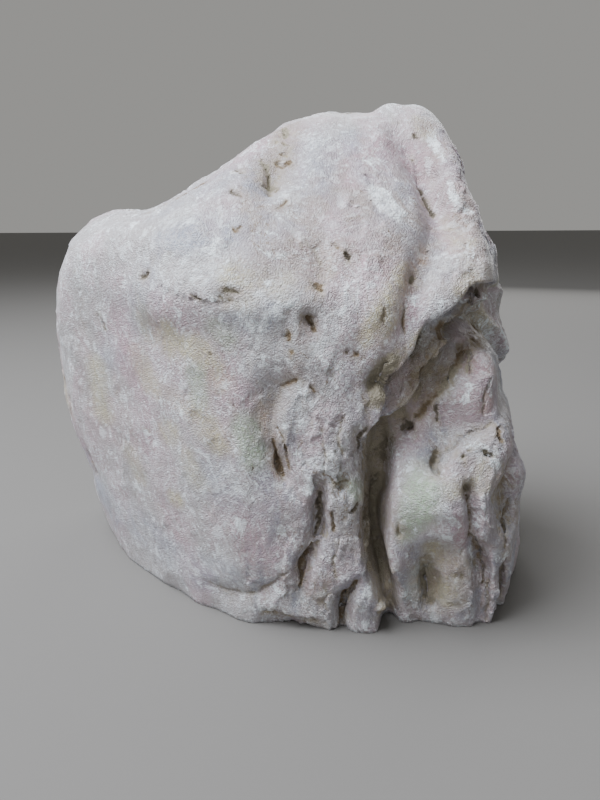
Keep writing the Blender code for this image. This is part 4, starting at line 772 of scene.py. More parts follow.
@dataclass
class StoneBlock:
    """The soapstone block: its skin, the relief that is carved into it and the masks that it carries.

    Sizes and heights are metres, and shares are parts of one. A touch starts at a number of half widths from
    its path and is full one half width nearer. The step's width and the refined margins are millimetres.
    """

    voxel: float = 0.00095
    quick_voxel: float = 0.0016
    most_triangles: int = 197000
    front_triangles: int = 118000
    hidden_triangles: int = 42000
    front_way: tuple = (0, -0.93, 0.36)
    finest_edge: float = 0.0007
    refine_rounds: int = 2
    refined_share: float = 0.1
    refined_widths: float = 1.3
    refined_margin: float = 0.7
    refined_step: float = 0.8
    refined_drop: float = 0.3

    facet_reach: float = 0.0028
    flat_bend: float = 0.012
    sharp_bend: float = 0.05
    sharp_kept: float = 0.85
    rough_kept: float = 0.65

    swell_height: float = 0.0006
    swell_size: float = 0.021
    calm_share: float = 0.30
    rough_share: float = 0.70
    chip_slope: float = 0.27
    chip_size: float = 0.0085
    chip_shake: float = 0.22
    chip_squeeze: float = 0.5
    chip_lifts: tuple = (0.1, 0.5, 0.9)
    tilt_scatter: float = 37.0
    small_chips: float = 0.6
    small_chip_size: float = 0.45
    small_chip_lift: float = 0.5
    grain_height: float = 0.00030
    grain_size: float = 0.0026
    grain_stretch: float = 3.5
    crumb_height: float = 0.00024
    crumb_size: float = 0.0026
    crumb_squeeze: float = 0.5
    crumbs_everywhere: float = 0.25
    crumbs_on_rough: float = 0.35

    wander: float = 0.0011
    wander_size: float = 0.0075
    wander_lifts: tuple = (0.37, 1.91)
    ragged_size: float = 0.0026
    ragged_middle: float = 0.9
    ragged_swing: float = 0.9
    ragged_range: tuple = (0.55, 1.6)
    hollow_reach: float = 0.0042
    full_dent: float = 0.0007
    soil_on_flat: float = 0.35
    soil_in_hollow: float = 0.65
    stroke_reach: float = 1.35
    mark_reach: float = 1.4
    halo_tan: float = 0.6
    halo_tan_reach: float = 1.2
    halo_stain: float = 0.7
    halo_stain_reach: float = 1.3
    halo_stain_width: float = 1.5

    step_width: float = 1.0
    base_height: float = 0.0012
    base_share: float = 0.6
    base_down: float = 0.9
    under_down: float = 0.98
    under_gap: float = 0.0001
    masks: dict = field(default_factory=dict)

    def modified(
        self, mesh: bpy.types.Mesh, kind: str, settings: dict, kept_to: list | None = None
    ) -> bpy.types.Mesh:
        """Puts a mesh through one modifier.

        Args:
            mesh: The mesh, which is used up.
            kind: The modifier's kind.
            settings: The modifier's settings by name.
            kept_to: The vertices that it is kept to, or none for all of them.

        Returns:
            The resulting mesh.
        """
        draft = placed("skin draft", mesh)
        modifier = draft.modifiers.new(kind, kind)
        for name, value in settings.items():
            setattr(modifier, name, value)
        if kept_to is not None:
            group = draft.vertex_groups.new(name="kept to")
            group.add(kept_to, 1.0, "REPLACE")
            modifier.vertex_group = group.name
        graph = bpy.context.evaluated_depsgraph_get()
        result = bpy.data.meshes.new_from_object(draft.evaluated_get(graph))
        bpy.data.objects.remove(draft)
        return result

    def skin_mesh(self) -> bpy.types.Mesh:
        """Lays a dense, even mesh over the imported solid.

        Returns:
            The mesh.
        """
        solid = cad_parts[STONE_NODE].data.copy()
        size = self.voxel
        return self.modified(solid, "REMESH", {"mode": "VOXEL", "voxel_size": size})

    def soften_facets(self, skin: Skin) -> None:
        """Rounds the solid's flat facets, and leaves its broken edges nearly as sharp as they are.

        Args:
            skin: The skin, which is changed.
        """
        soft = skin.blurred(skin.places, skin.rounds(self.facet_reach))
        bend = 1 - (skin.normals * skin.blurred(skin.normals, 3)).sum(axis=1)
        sharp = smooth_step((skin.blurred(bend, 2) - self.flat_bend) / self.sharp_bend)
        kept = np.maximum(self.sharp_kept * sharp, self.rough_kept * self.masks[Tint.ROUGH])[:, None]
        skin.places = soft + kept * (skin.places - soft)
        skin.refresh()

    def views(self, skin: Skin) -> dict:
        """Looks at the skin from every side, with its flat places shaken so that paths run naturally.

        Args:
            skin: The skin.

        Returns:
            The flat places and the shares of each side.
        """
        shake = self.wander / MM * noise_columns(skin.places, self.wander_size, 2, self.wander_lifts)
        return {side: skin.seen_from(side, shake) for side in Side}

    def relief(self, skin: Skin) -> np.ndarray:
        """Adds up the swellings, the chips, the grain and the crumbs.

        Args:
            skin: The skin.

        Returns:
            How far they move each point outward, in metres.
        """
        rough = self.calm_share + self.rough_share * self.masks[Tint.ROUGH]
        places = skin.places
        height = self.swell_height * soft_noise(places, self.swell_size, 2)
        height += rough * self.chips(places, self.chip_size)
        lifted = places + self.small_chip_lift
        height += self.small_chips * rough * self.chips(lifted, self.chip_size * self.small_chip_size)
        grain = places * (1, 1, 1 / self.grain_stretch)
        height += self.grain_height * rough * soft_noise(grain, self.grain_size, 2)
        crumbs = np.abs(soft_noise(places * (1, 1, self.crumb_squeeze), self.crumb_size, 2))
        crushed = np.clip(self.masks[Tint.CRUSHED] + self.crumbs_on_rough * self.masks[Tint.ROUGH], 0, 1)
        height += self.crumb_height * (self.crumbs_everywhere + crushed) * (crumbs - 0.5)
        return height

    def chips(self, places: np.ndarray, size: float) -> np.ndarray:
        """Flat facets of broken stone, each tilted its own way.

        Args:
            places: Points, one to a row, in metres.
            size: The size of a facet, in metres.

        Returns:
            The facets' height at each point, in metres.
        """
        moved = places + self.chip_shake * size * noise_columns(places, size * 0.5, 1, self.chip_lifts)
        scaled = moved * (1, 1, self.chip_squeeze) / size
        nearest = np.array([noise.voronoi(place)[1][0] for place in scaled.tolist()])
        tilts = np.array([noise.cell_vector(place) for place in (nearest * self.tilt_scatter).tolist()]) - 0.5
        return size * self.chip_slope * ((scaled - nearest) * tilts).sum(axis=1)

    def paint(self, skin: Skin) -> None:
        """Works out every mask of the skin from the strokes, the marks and the skin's own shape.

        Args:
            skin: The skin.
        """
        self.masks = {tint: np.zeros(len(skin.places)) for tint in Tint}
        # The hollow mask measures dents; the finish lays tan painted shade as well as soil by it.
        blurred = skin.blurred(skin.places, skin.rounds(self.hollow_reach))
        dent = ((blurred - skin.places) * skin.normals).sum(axis=1)
        self.masks[Tint.HOLLOW] = smooth_step(dent / self.full_dent)
        self.masks[Tint.PROUD] = smooth_step(-dent / self.full_dent)
        views = self.views(skin)
        self.paint_strokes(views)
        uneven = self.ragged_middle + self.ragged_swing * soft_noise(skin.places, self.ragged_size, 2)
        self.paint_marks(views, np.clip(uneven, *self.ragged_range))

    def paint_strokes(self, views: dict) -> None:
        """Lays the strokes on the masks. Soil keeps mostly to the hollows.

        Args:
            views: The skin seen from every side.
        """
        for stroke in STROKES:
            flat, share = views[stroke.side]
            distance, (half_width,) = near_path(flat, stroke.path)
            if stroke.tint in SOILS:
                share = share * (self.soil_on_flat + self.soil_in_hollow * self.masks[Tint.HOLLOW])
            self.lay(stroke.tint, share * stroke.amount, self.stroke_reach - abs(distance) / half_width)

    def paint_marks(self, views: dict, ragged: np.ndarray) -> None:
        """Lays the marks' soil on the masks, with a halo of tan and of stain around it.

        Args:
            views: The skin seen from every side.
            ragged: How many times wider than its path a mark is at each point.
        """
        for mark in MARKS:
            flat, share = views[mark.side]
            distance, (half_width, _) = near_path(flat, mark.path)
            near = abs(distance) / (half_width * ragged)
            self.lay(mark.soil, share * mark.amount, self.mark_reach - near)
            if mark.soil in SOILS:
                touch = self.halo_tan_reach - near / mark.halo
                self.lay(Tint.TAN, self.halo_tan * share * mark.amount, touch)
                touch = self.halo_stain_reach - near / (self.halo_stain_width * mark.halo)
                self.lay(Tint.STAIN_AND_SHADE, self.halo_stain * share * mark.amount, touch)

    def lay(self, tint: Tint, strength: np.ndarray, touch: np.ndarray) -> None:
        """Lays a soft touch on one of the masks, where it is stronger than what lies there."""
        self.masks[tint] = np.maximum(self.masks[tint], strength * smooth_step(touch))

    def carve(self, skin: Skin) -> None:
        """Cuts the marks and the steps into the skin.

        Args:
            skin: The skin, which is changed.
        """
        depth = np.zeros(len(skin.places))
        views = self.views(skin)
        for mark in MARKS:
            flat, share = views[mark.side]
            distance, (half_width, deep) = near_path(flat, mark.path)
            depth += share * deep * MM * (1 - smooth_step(abs(distance) / half_width))
        for step in STEPS:
            flat, share = views[step.side]
            distance, (drop,) = near_path(flat, step.path)
            fall = smooth_step(0.5 + distance / self.step_width) * np.exp(-abs(distance) / step.reach)
            depth += share * drop * MM * fall
        skin.push(-depth)

    def keep_inside(self, skin: Skin) -> None:
        """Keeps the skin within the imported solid's box, and its base flat.

        Args:
            skin: The skin, which is changed.
        """
        low, high = (np.array(corner) for corner in CAD_BOX)
        on_base = skin.places[:, 2] < self.base_height * self.base_share
        on_base |= skin.normals[:, 2] < -self.base_down
        on_base &= skin.places[:, 2] < self.base_height
        skin.places = np.clip(skin.places, low, high)
        skin.places[on_base, 2] = low[2]
        skin.refresh()

    def along_marks(self, skin: Skin) -> np.ndarray:
        """Finds the points that lie along a mark or a step.

        Args:
            skin: The skin.

        Returns:
            Whether each point does.
        """
        near = np.zeros(len(skin.places), bool)
        views = self.views(skin)
        for mark in MARKS:
            flat, share = views[mark.side]
            distance, (half_width, _) = near_path(flat, mark.path)
            within = abs(distance) < half_width * self.refined_widths + self.refined_margin
            near |= (share > self.refined_share) & within
        for step in STEPS:
            flat, share = views[step.side]
            distance, (drop,) = near_path(flat, step.path)
            within = (abs(distance) < self.refined_step) & (drop > self.refined_drop)
            near |= (share > self.refined_share) & within
        return near

    def refined(self, mesh: bpy.types.Mesh) -> bpy.types.Mesh:
        """Splits the edges along the marks, as long as the stone keeps within its number of triangles.

        Args:
            mesh: The mesh, which is changed.

        Returns:
            The same mesh.
        """
        for _ in range(self.refine_rounds):
            near = self.along_marks(Skin(mesh))
            body = bmesh.new()
            body.from_mesh(mesh)
            bmesh.ops.triangulate(body, faces=body.faces)
            edges = [
                edge for edge in body.edges
                if all(near[end.index] for end in edge.verts) and edge.calc_length() > self.finest_edge
            ]
            fits = len(body.faces) + 2 * len(edges) <= self.most_triangles
            if fits:
                bmesh.ops.subdivide_edges(body, edges=edges, cuts=1)
                bmesh.ops.triangulate(body, faces=[face for face in body.faces if len(face.verts) > 3])
                body.to_mesh(mesh)
            body.free()
            if not fits:
                break
        return mesh

    def thinned(self, mesh: bpy.types.Mesh) -> bpy.types.Mesh:
        """Thins a mesh, so that most of its triangles are on the front.

        Args:
            mesh: The dense skin, which is used up.

        Returns:
            The thinner skin.
        """
        front = self.fronts(mesh).mean() * self.triangles(mesh)
        settings = {"ratio": min(1, self.front_triangles / front), "use_collapse_triangulate": True}
        mesh = self.modified(mesh, "DECIMATE", settings)
        every = self.front_triangles + self.hidden_triangles
        settings["ratio"] = min(1, every / self.triangles(mesh))
        hidden = np.flatnonzero(~self.fronts(mesh)).tolist()
        return self.modified(mesh, "DECIMATE", settings, hidden)

    def triangles(self, mesh: bpy.types.Mesh) -> int:
        """How many triangles the faces of a mesh make."""
        return len(mesh.loops) - 2 * len(mesh.polygons)

    def fronts(self, mesh: bpy.types.Mesh) -> np.ndarray:
        """Which points of a mesh face the front."""
        return Skin(mesh).normals @ np.array(self.front_way) > 0

    def build(self) -> bpy.types.Object:
        """Makes the stone.

        Returns:
            The dressed stone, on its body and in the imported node's place.
        """
        skin = Skin(self.skin_mesh())
        self.paint(skin)
        self.soften_facets(skin)
        skin.push(self.relief(skin))
        skin.refresh()
        skin = Skin(self.refined(self.thinned(skin.mesh)))
        self.carve(skin)
        self.keep_inside(skin)
        self.paint(skin)
        stone = placed("soapstone_skin", skin.mesh)
        self.dress(stone)
        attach(stone, "root")
        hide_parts(STONE_NODE)
        return stone

    def dress(self, stone: bpy.types.Object) -> None:
        """Writes the masks on the stone and gives it its finishes.

        Args:
            stone: The stone's object.
        """
        mesh = stone.data
        for tint, values in self.masks.items():
            layer = mesh.attributes.new(tint.value, "FLOAT", "POINT")
            layer.data.foreach_set("value", np.clip(values, 0, 1).astype(np.float32))
        effects = Effects()
        mesh.materials.clear()
        mesh.materials.append(BrokenStone().material(effects))
        mesh.materials.append(FlatBase().material(effects))
        low = CAD_BOX[0][2]
        for face in mesh.polygons:
            under = face.normal.z < -self.under_down and abs(face.center.z - low) < self.under_gap
            face.material_index = 1 if under else 0
            face.use_smooth = not under


@dataclass
class Wiring:
    """A node tree that is being wired. A value is a node's socket, or a plain number, colour or vector."""

    tree: bpy.types.NodeTree
    swirl_scale: float = 32.0
    swirl_bend: float = 0.022

    def node(self, kind: str, inputs: dict | None = None, **settings: object) -> bpy.types.Node:
        """Adds a node.

        Args:
            kind: The node's kind.
            inputs: The values of some of its inputs, by name or number.
            settings: Some of its settings by name.

        Returns:
            The node.
        """
        node = self.tree.nodes.new(kind)
        for name, value in settings.items():
            setattr(node, name, value)
        for key, value in (inputs or {}).items():
            self.feed(node.inputs[key], value)
        return node

    def feed(self, socket: bpy.types.NodeSocket, value: object) -> None:
        """Links another node's socket to an input, or sets the input's own value.

        Args:
            socket: The input.
            value: The other node's socket, or the value.
        """
        if isinstance(value, bpy.types.NodeSocket):
            self.tree.links.new(value, socket)
        else:
            socket.default_value = value

    def maths(
        self, operation: str, first: object, second: object = 0.0, clamp: bool = False
    ) -> bpy.types.NodeSocket:
        """The result of a Math node."""
        inputs = {0: first, 1: second}
        return self.node("ShaderNodeMath", inputs, operation=operation, use_clamp=clamp).outputs[0]

    def times(self, first: object, second: object) -> bpy.types.NodeSocket:
        """The product of two values."""
        return self.maths("MULTIPLY", first, second)

    def plus(self, first: object, second: object) -> bpy.types.NodeSocket:
        """The sum of two values."""
        return self.maths("ADD", first, second)

    def larger(self, first: object, second: object) -> bpy.types.NodeSocket:
        """The larger of two values."""
        return self.maths("MAXIMUM", first, second)

    def blend(self, share: object, first: object, second: object) -> bpy.types.NodeSocket:
        """A colour between two others, which is the second one where the share is 1."""
        inputs = {0: share, 6: first, 7: second}
        return self.node("ShaderNodeMix", inputs, data_type="RGBA").outputs[2]

    def rise(
        self, value: object, low: object, high: object, least: object = 0.0, most: object = 1.0
    ) -> bpy.types.NodeSocket:
        """A smooth rise from the least to the most as the value goes from low to high."""
        inputs = dict(enumerate((value, low, high, least, most)))
        return self.node("ShaderNodeMapRange", inputs, interpolation_type="SMOOTHSTEP").outputs[0]

    def over(self, share: object, least: object, most: object) -> bpy.types.NodeSocket:
        """A smooth rise from the least to the most as a share goes from 0 to 1."""
        return self.rise(share, 0.0, 1.0, least, most)

    def mask(self, tint: Tint) -> bpy.types.NodeSocket:
        """A mask that the skin carries."""
        return self.node("ShaderNodeAttribute", attribute_name=tint.value).outputs["Fac"]

    def place(self) -> bpy.types.NodeSocket:
        """The stone's own coordinates."""
        return self.node("ShaderNodeTexCoord").outputs["Object"]

    def noise(self, place: object, scale: object, **inputs: object) -> bpy.types.Node:
        """A noise texture at a place, with its scale and some of its other inputs."""
        return self.node("ShaderNodeTexNoise", {"Vector": place, "Scale": scale, **inputs})

    def vector(self, operation: str, *values: object) -> bpy.types.NodeSocket:
        """The result of a Vector Math node."""
        inputs = dict(enumerate(values))
        return self.node("ShaderNodeVectorMath", inputs, operation=operation).outputs[0]

    def grained(self, lean: object, stretch: object) -> bpy.types.NodeSocket:
        """Draws the stone's own coordinates out along a swirling grain.

        Args:
            lean: How far the grain leans from the vertical, in radians.
            stretch: How many times it is drawn out.

        Returns:
            The coordinates.
        """
        place = self.place()
        swirl = self.noise(place, self.swirl_scale, Detail=1.0).outputs["Color"]
        bent = self.vector("MULTIPLY_ADD", swirl, (self.swirl_bend,) * 3, place)
        turn = self.node("ShaderNodeVectorRotate", {"Vector": bent, "Angle": lean}, rotation_type="Y_AXIS")
        height = self.maths("DIVIDE", 1.0, stretch)
        squeeze = self.node("ShaderNodeCombineXYZ", {"X": 1.0, "Y": 1.0, "Z": height})
        return self.vector("MULTIPLY", turn.outputs[0], squeeze.outputs[0])


@dataclass
class Effects:
    """The shader node groups that the finishes share, each built once.

    A fleck's radius and its core are parts of its cell and of its radius, and its edge is ragged by a noise
    that is so many times finer than the cell. The soil's depth is how thick it lies where its mask is full,
    before its grains are taken away.
    """

    clouds: bpy.types.NodeTree = field(init=False)
    mottle: bpy.types.NodeTree = field(init=False)
    grain: bpy.types.NodeTree = field(init=False)
    flecks: bpy.types.NodeTree = field(init=False)
    wisps: bpy.types.NodeTree = field(init=False)
    grit: bpy.types.NodeTree = field(init=False)
    soil: bpy.types.NodeTree = field(init=False)
    cloud_lean: float = 0.2
    cloud_stretch: float = 1.6
    fleck_edge_fineness: float = 2.2
    fleck_radius: tuple = (0.15, 0.62)
    fleck_core: float = 0.65
    fleck_strength: tuple = (0.35, 1.0)
    crystal_share: float = 0.6
    soil_grains: tuple = (0.32, 0.68)
    soil_depth: float = 1.7
    dark_share: float = 0.35
    dark_grains: tuple = (0.05, 0.043, 0.034, 1.0)

    def __post_init__(self) -> None:
        """Builds the groups."""
        self.clouds = self.clouds_group()
        self.mottle = self.mottle_group()
        self.grain = self.grain_group()
        self.flecks = self.flecks_group()
        self.wisps = self.wisps_group()
        self.grit = self.grit_group()
        self.soil = self.soil_group()

    def group(self, name: str, inputs: dict, outputs: dict) -> tuple:
        """Starts a group.

        Args:
            name: The group's name.
            inputs: Each input's name and first value; a colour has four parts.
            outputs: Each output's name and the kind of its socket.

        Returns:
            The wiring, the input node's sockets and the output node's sockets.
        """
        tree = bpy.data.node_groups.new(name, "ShaderNodeTree")
        for title, value in inputs.items():
            kind = COLOUR if isinstance(value, tuple) else NUMBER
            socket = tree.interface.new_socket(name=title, in_out="INPUT", socket_type=kind)
            socket.default_value = value
        for title, kind in outputs.items():
            tree.interface.new_socket(name=title, in_out="OUTPUT", socket_type=kind)
        wiring = Wiring(tree)
        return wiring, wiring.node("NodeGroupInput").outputs, wiring.node("NodeGroupOutput").inputs

    def clouds_group(self) -> bpy.types.NodeTree:
        """Wires soft cloudy patches of one size.

        Returns:
            The group.
        """
        inputs = {"Size": 0.03, "Low": 0.4, "High": 0.6, "Ragged": 0.58}
        wiring, given, out = self.group("Stone clouds", inputs, {"Mask": NUMBER})
        place = wiring.grained(self.cloud_lean, self.cloud_stretch)
        scale = wiring.maths("DIVIDE", 1.0, given["Size"])
        cloud = wiring.noise(place, scale, Detail=6.0, Roughness=given["Ragged"], Distortion=0.4)
        wiring.feed(out["Mask"], wiring.rise(cloud.outputs[0], given["Low"], given["High"]))
        return wiring.tree

    def mottle_group(self) -> bpy.types.NodeTree:
        """Wires fine, even mottling.

        Returns:
            The group.
        """
        inputs = {"Size": 0.001, "Low": 0.4, "High": 0.6}
        wiring, given, out = self.group("Stone mottle", inputs, {"Mask": NUMBER})
        scale = wiring.maths("DIVIDE", 1.0, given["Size"])
        mottle = wiring.noise(wiring.place(), scale, Detail=4.0, Roughness=0.66)
        wiring.feed(out["Mask"], wiring.rise(mottle.outputs[0], given["Low"], given["High"]))
        return wiring.tree

    def grain_group(self) -> bpy.types.NodeTree:
        """Wires fine streaks along the stone's leaning grain.

        Returns:
            The group.
        """
        inputs = {"Size": 0.002, "Stretch": 6.0, "Lean": 0.15}
        wiring, given, out = self.group("Stone grain", inputs, {"Height": NUMBER})
        place = wiring.grained(given["Lean"], given["Stretch"])
        scale = wiring.maths("DIVIDE", 1.0, given["Size"])
        streak = wiring.noise(place, scale, Detail=5.0, Roughness=0.62, Distortion=0.35)
        wiring.feed(out["Height"], streak.outputs[0])
        return wiring.tree

    def wisps_group(self) -> bpy.types.NodeTree:
        """Wires a loose net of thin bruised lines.

        Returns:
            The group.
        """
        inputs = {"Size": 0.006, "Stretch": 1.8, "Lean": 0.3, "Width": 0.03}
        wiring, given, out = self.group("Crushed wisps", inputs, {"Mask": NUMBER})
        place = wiring.grained(given["Lean"], given["Stretch"])
        scale = wiring.maths("DIVIDE", 1.0, given["Size"])
        line = wiring.noise(place, scale, Detail=4.0, Roughness=0.55, Distortion=0.8)
        away = wiring.maths("ABSOLUTE", wiring.maths("SUBTRACT", line.outputs[0], 0.5))
        wiring.feed(out["Mask"], wiring.rise(away, given["Width"], 0.0))
        return wiring.tree

    def flecks_group(self) -> bpy.types.NodeTree:
        """Wires scattered flecks with ragged edges, each a small bruise of crushed stone.

        Returns:
            The group.
        """
        inputs = {"Size": 0.004, "Stretch": 1.6, "Lean": 0.3, "Share": 0.4, "Ragged": 1.5}
        wiring, given, out = self.group("Crushed flecks", inputs, {"Mask": NUMBER})
        place = wiring.grained(given["Lean"], given["Stretch"])
        ragged_scale = wiring.maths("DIVIDE", self.fleck_edge_fineness, given["Size"])
        ragged = wiring.noise(place, ragged_scale, Detail=4.0, Roughness=0.7)
        reach = wiring.times(given["Size"], given["Ragged"])
        shift = wiring.node(
            "ShaderNodeVectorMath", {0: ragged.outputs["Color"], "Scale": reach}, operation="SCALE"
        )
        moved = wiring.vector("ADD", place, shift.outputs[0])
        scale = wiring.maths("DIVIDE", 1.0, given["Size"])
        cell = wiring.node("ShaderNodeTexVoronoi", {"Vector": moved, "Scale": scale})
        lot = wiring.node("ShaderNodeSeparateColor", {0: cell.outputs["Color"]}).outputs
        chosen = wiring.maths("LESS_THAN", lot[0], given["Share"])
        radius = wiring.over(lot[1], *self.fleck_radius)
        away = wiring.maths("DIVIDE", cell.outputs["Distance"], radius)
        inside = wiring.rise(away, 1.0, self.fleck_core)
        strength = wiring.times(chosen, wiring.over(lot[2], *self.fleck_strength))
        wiring.feed(out["Mask"], wiring.times(inside, strength))
        return wiring.tree

    def grit_group(self) -> bpy.types.NodeTree:
        """Wires the fine crystalline tooth of the broken stone.

        Returns:
            The group.
        """
        wiring, given, out = self.group("Stone grit", {"Size": 0.001}, {"Height": NUMBER})
        place = wiring.place()
        scale = wiring.maths("DIVIDE", 1.0, given["Size"])
        cell = wiring.node("ShaderNodeTexVoronoi", {"Vector": place, "Scale": scale})
        tooth = wiring.noise(place, scale, Detail=3.0)
        crystals = wiring.times(cell.outputs["Distance"], self.crystal_share)
        wiring.feed(out["Height"], wiring.maths("SUBTRACT", tooth.outputs[0], crystals))
        return wiring.tree

    def soil_group(self) -> bpy.types.NodeTree:
        """Wires soil that lies thick in the middle of its mask and in grains at its edge.

        Returns:
            The group.
        """
        inputs = {
            "Colour": (0.6, 0.6, 0.6, 1.0), "Soil Colour": (0.2, 0.15, 0.1, 1.0), "Where": 0.0,
            "Size": 0.0015, "Low": 0.0, "High": 0.5,
        }
        wiring, given, out = self.group("Settled soil", inputs, {"Colour": COLOUR, "Mask": NUMBER})
        scale = wiring.maths("DIVIDE", 1.0, given["Size"])
        grains = wiring.noise(wiring.place(), scale, Detail=6.0, Roughness=0.78)
        spread = wiring.rise(grains.outputs[0], *self.soil_grains)
        thick = wiring.maths("SUBTRACT", wiring.times(given["Where"], self.soil_depth), spread)
        lies = wiring.rise(thick, given["Low"], given["High"])
        dark = wiring.over(spread, 0.0, self.dark_share)
        soil = wiring.blend(dark, given["Soil Colour"], self.dark_grains)
        wiring.feed(out["Colour"], wiring.blend(lies, given["Colour"], soil))
        wiring.feed(out["Mask"], lies)
        return wiring.tree

    def place(
        self, wiring: Wiring, tree: bpy.types.NodeTree, **values: object
    ) -> bpy.types.bpy_prop_collection:
        """Places a group in a tree with its own values, where an underscore stands for a space.

        Args:
            wiring: The wiring of the tree.
            tree: The group.
            values: The group's inputs by name.

        Returns:
            The outputs of the group's node.
        """
        inputs = {name.replace("_", " "): value for name, value in values.items()}
        return wiring.node("ShaderNodeGroup", inputs, node_tree=tree).outputs


@dataclass(frozen=True)
class Wash:
    """A tint of the clear stone: its mask, its colour, and its share between the small clouds and in them."""

    tint: Tint
    colour: tuple
    between: float
    inside: float


@dataclass(frozen=True)
class Flecks:
    """A layer of crushed flecks. Its size is in metres and its lean in radians."""

    size: float
    stretch: float
    lean: float
    share: float
    ragged: float
    strength: float


@dataclass(frozen=True)
class Soil:
    """A soil: its mask, its colour, the size of its grains in metres, and where it starts and lies full."""

    tint: Tint
    colour: tuple
    size: float
    low: float
    high: float


@dataclass(frozen=True)
class BrokenStone:
    """The finish of the broken faces: pale stone with pink, cream and green tints, crushed white and soil,
    with painted shade in hollows and a painted highlight on raised edges.

    A pair that is named for what it lies on, such as the marks on the frost, gives a share off it and on it.
    """

    grey_white: tuple = (0.492, 0.502, 0.512, 1.0)
    pale_pink: tuple = (0.530, 0.415, 0.465, 1.0)
    pink_in_clouds: tuple = (0.1, 0.95)
    washes: tuple = (
        Wash(Tint.COOL, (0.270, 0.340, 0.475, 1.0), 0.9, 0.4),
        Wash(Tint.PINK, (0.475, 0.270, 0.345, 1.0), 0.55, 1.0),
        Wash(Tint.CREAM, (0.580, 0.545, 0.315, 1.0), 0.95, 0.45),
        Wash(Tint.GREEN, (0.400, 0.560, 0.385, 1.0), 0.9, 0.9),
        Wash(Tint.STAIN_AND_SHADE, (0.350, 0.290, 0.262, 1.0), 0.45, 0.95),
        Wash(Tint.RUST, (0.420, 0.270, 0.170, 1.0), 0.5, 1.0),
    )
    dim: tuple = (0.340, 0.290, 0.310, 1.0)
    dim_mottles: tuple = ((0.0008, 0.58), (0.0014, 0.28), (0.0045, 0.20))
    tan_soil_and_shade: tuple = (0.385, 0.340, 0.265, 1.0)
    brown_soil: tuple = (0.225, 0.168, 0.108, 1.0)
    olive_soil: tuple = (0.340, 0.310, 0.240, 1.0)
    dark_soil: tuple = (0.175, 0.152, 0.118, 1.0)
    specks_in_clouds: tuple = (0.2, 0.8, 0.0, 0.5)
    hollow_on_torn: tuple = (0.18, 0.38)
    hair_on_torn: tuple = (0.25, 0.85)

    crushed_white_and_highlight: tuple = (0.870, 0.940, 0.995, 1.0)
    line_strength: float = 0.5
    flecks: tuple = (
        Flecks(0.0013, 7.0, 0.30, 0.24, 0.60, 0.75),
        Flecks(0.0012, 6.0, -0.60, 0.18, 0.60, 0.75),
        Flecks(0.0020, 3.4, 1.15, 0.10, 0.80, 0.80),
        Flecks(0.0062, 1.5, 0.30, 0.19, 1.70, 1.0),
        Flecks(0.0034, 1.4, -0.50, 0.32, 1.40, 1.0),
        Flecks(0.0019, 1.3, 0.90, 0.42, 0.90, 0.90),
    )
    veil_on_sugar: tuple = (0.04, 0.68)
    edges_on_sugar: tuple = (0.05, 0.42)
    marks_on_frost: tuple = (0.62, 1.0)
    veil_on_clear: tuple = (1.0, 0.25)
    marks_on_clear: tuple = (1.0, 0.50)
    edges_on_stain: tuple = (1.0, 0.25)
    tinted_share: float = 0.65
    bruise_parts: tuple = (0.88, 0.45, 0.30)
    bruise_range: tuple = (0.58, 1.30)

    clear_roughness: float = 0.28
    crushed_roughness: float = 0.62
    soil_roughness: float = 0.9
    refraction: float = 1.5
    light_sinks: float = 0.12
    sink_depth: float = 0.0035
    sink_colours: tuple = (1.0, 0.82, 0.78)
    relief: float = 0.0008
    relief_strength: float = 0.9
    calm_relief: float = 0.30
    grain_relief: float = 0.4
    crystal_relief: float = 0.8
    grit_relief: float = 0.90
    white_relief: float = 0.20

    def material(self, effects: Effects) -> bpy.types.Material:
        """Makes the material.

        Args:
            effects: The shared node groups.

        Returns:
            The finished material.
        """
        material = bpy.data.materials.new("broken soapstone")
        material.use_nodes = True
        wiring = Wiring(material.node_tree)
        shader = material.node_tree.nodes["Principled BSDF"]
        white = self.crushing(wiring, effects)
        colour = self.tints(wiring, effects)
        # The white includes the painted highlight on raised edges.
        colour = wiring.blend(white, colour, self.crushed_white_and_highlight)
        colour, soil_and_shade = self.soils(wiring, effects, colour)
        wiring.feed(shader.inputs["Base Color"], colour)
        clean = wiring.over(white, self.clear_roughness, self.crushed_roughness)
        wiring.feed(shader.inputs["Roughness"], wiring.over(soil_and_shade, clean, self.soil_roughness))
        shader.inputs["Subsurface Weight"].default_value = self.light_sinks
        shader.inputs["Subsurface Scale"].default_value = self.sink_depth
        shader.inputs["Subsurface Radius"].default_value = self.sink_colours
        shader.inputs["IOR"].default_value = self.refraction
        wiring.feed(shader.inputs["Normal"], self.bump(wiring, effects, white))
        return material

    def tints(self, wiring: Wiring, effects: Effects) -> bpy.types.NodeSocket:
        """Tints the clear stone by its clouds and by the masks that the skin carries.

        Args:
            wiring: The material's wiring.
            effects: The shared node groups.

        Returns:
            The clear stone's colour.
        """
        broad = effects.place(wiring, effects.clouds, Size=0.046, Low=0.42, High=0.60)["Mask"]
        small = effects.place(wiring, effects.clouds, Size=0.013, Low=0.40, High=0.64)["Mask"]
        colour = wiring.blend(wiring.over(broad, *self.pink_in_clouds), self.grey_white, self.pale_pink)
        for wash in self.washes:
            share = wiring.times(wiring.mask(wash.tint), wiring.over(small, wash.between, wash.inside))
            colour = wiring.blend(share, colour, wash.colour)
        for size, most in self.dim_mottles:
            tone = effects.place(wiring, effects.mottle, Size=size, Low=0.42, High=0.62)["Mask"]
            colour = wiring.blend(wiring.times(tone, most), colour, self.dim)
        specks = effects.place(
            wiring, effects.flecks, Size=0.0050, Stretch=1.6, Lean=0.8, Share=0.16, Ragged=1.8
        )["Mask"]
        specks = wiring.times(specks, wiring.rise(small, *self.specks_in_clouds))
        return wiring.blend(specks, colour, self.tan_soil_and_shade)

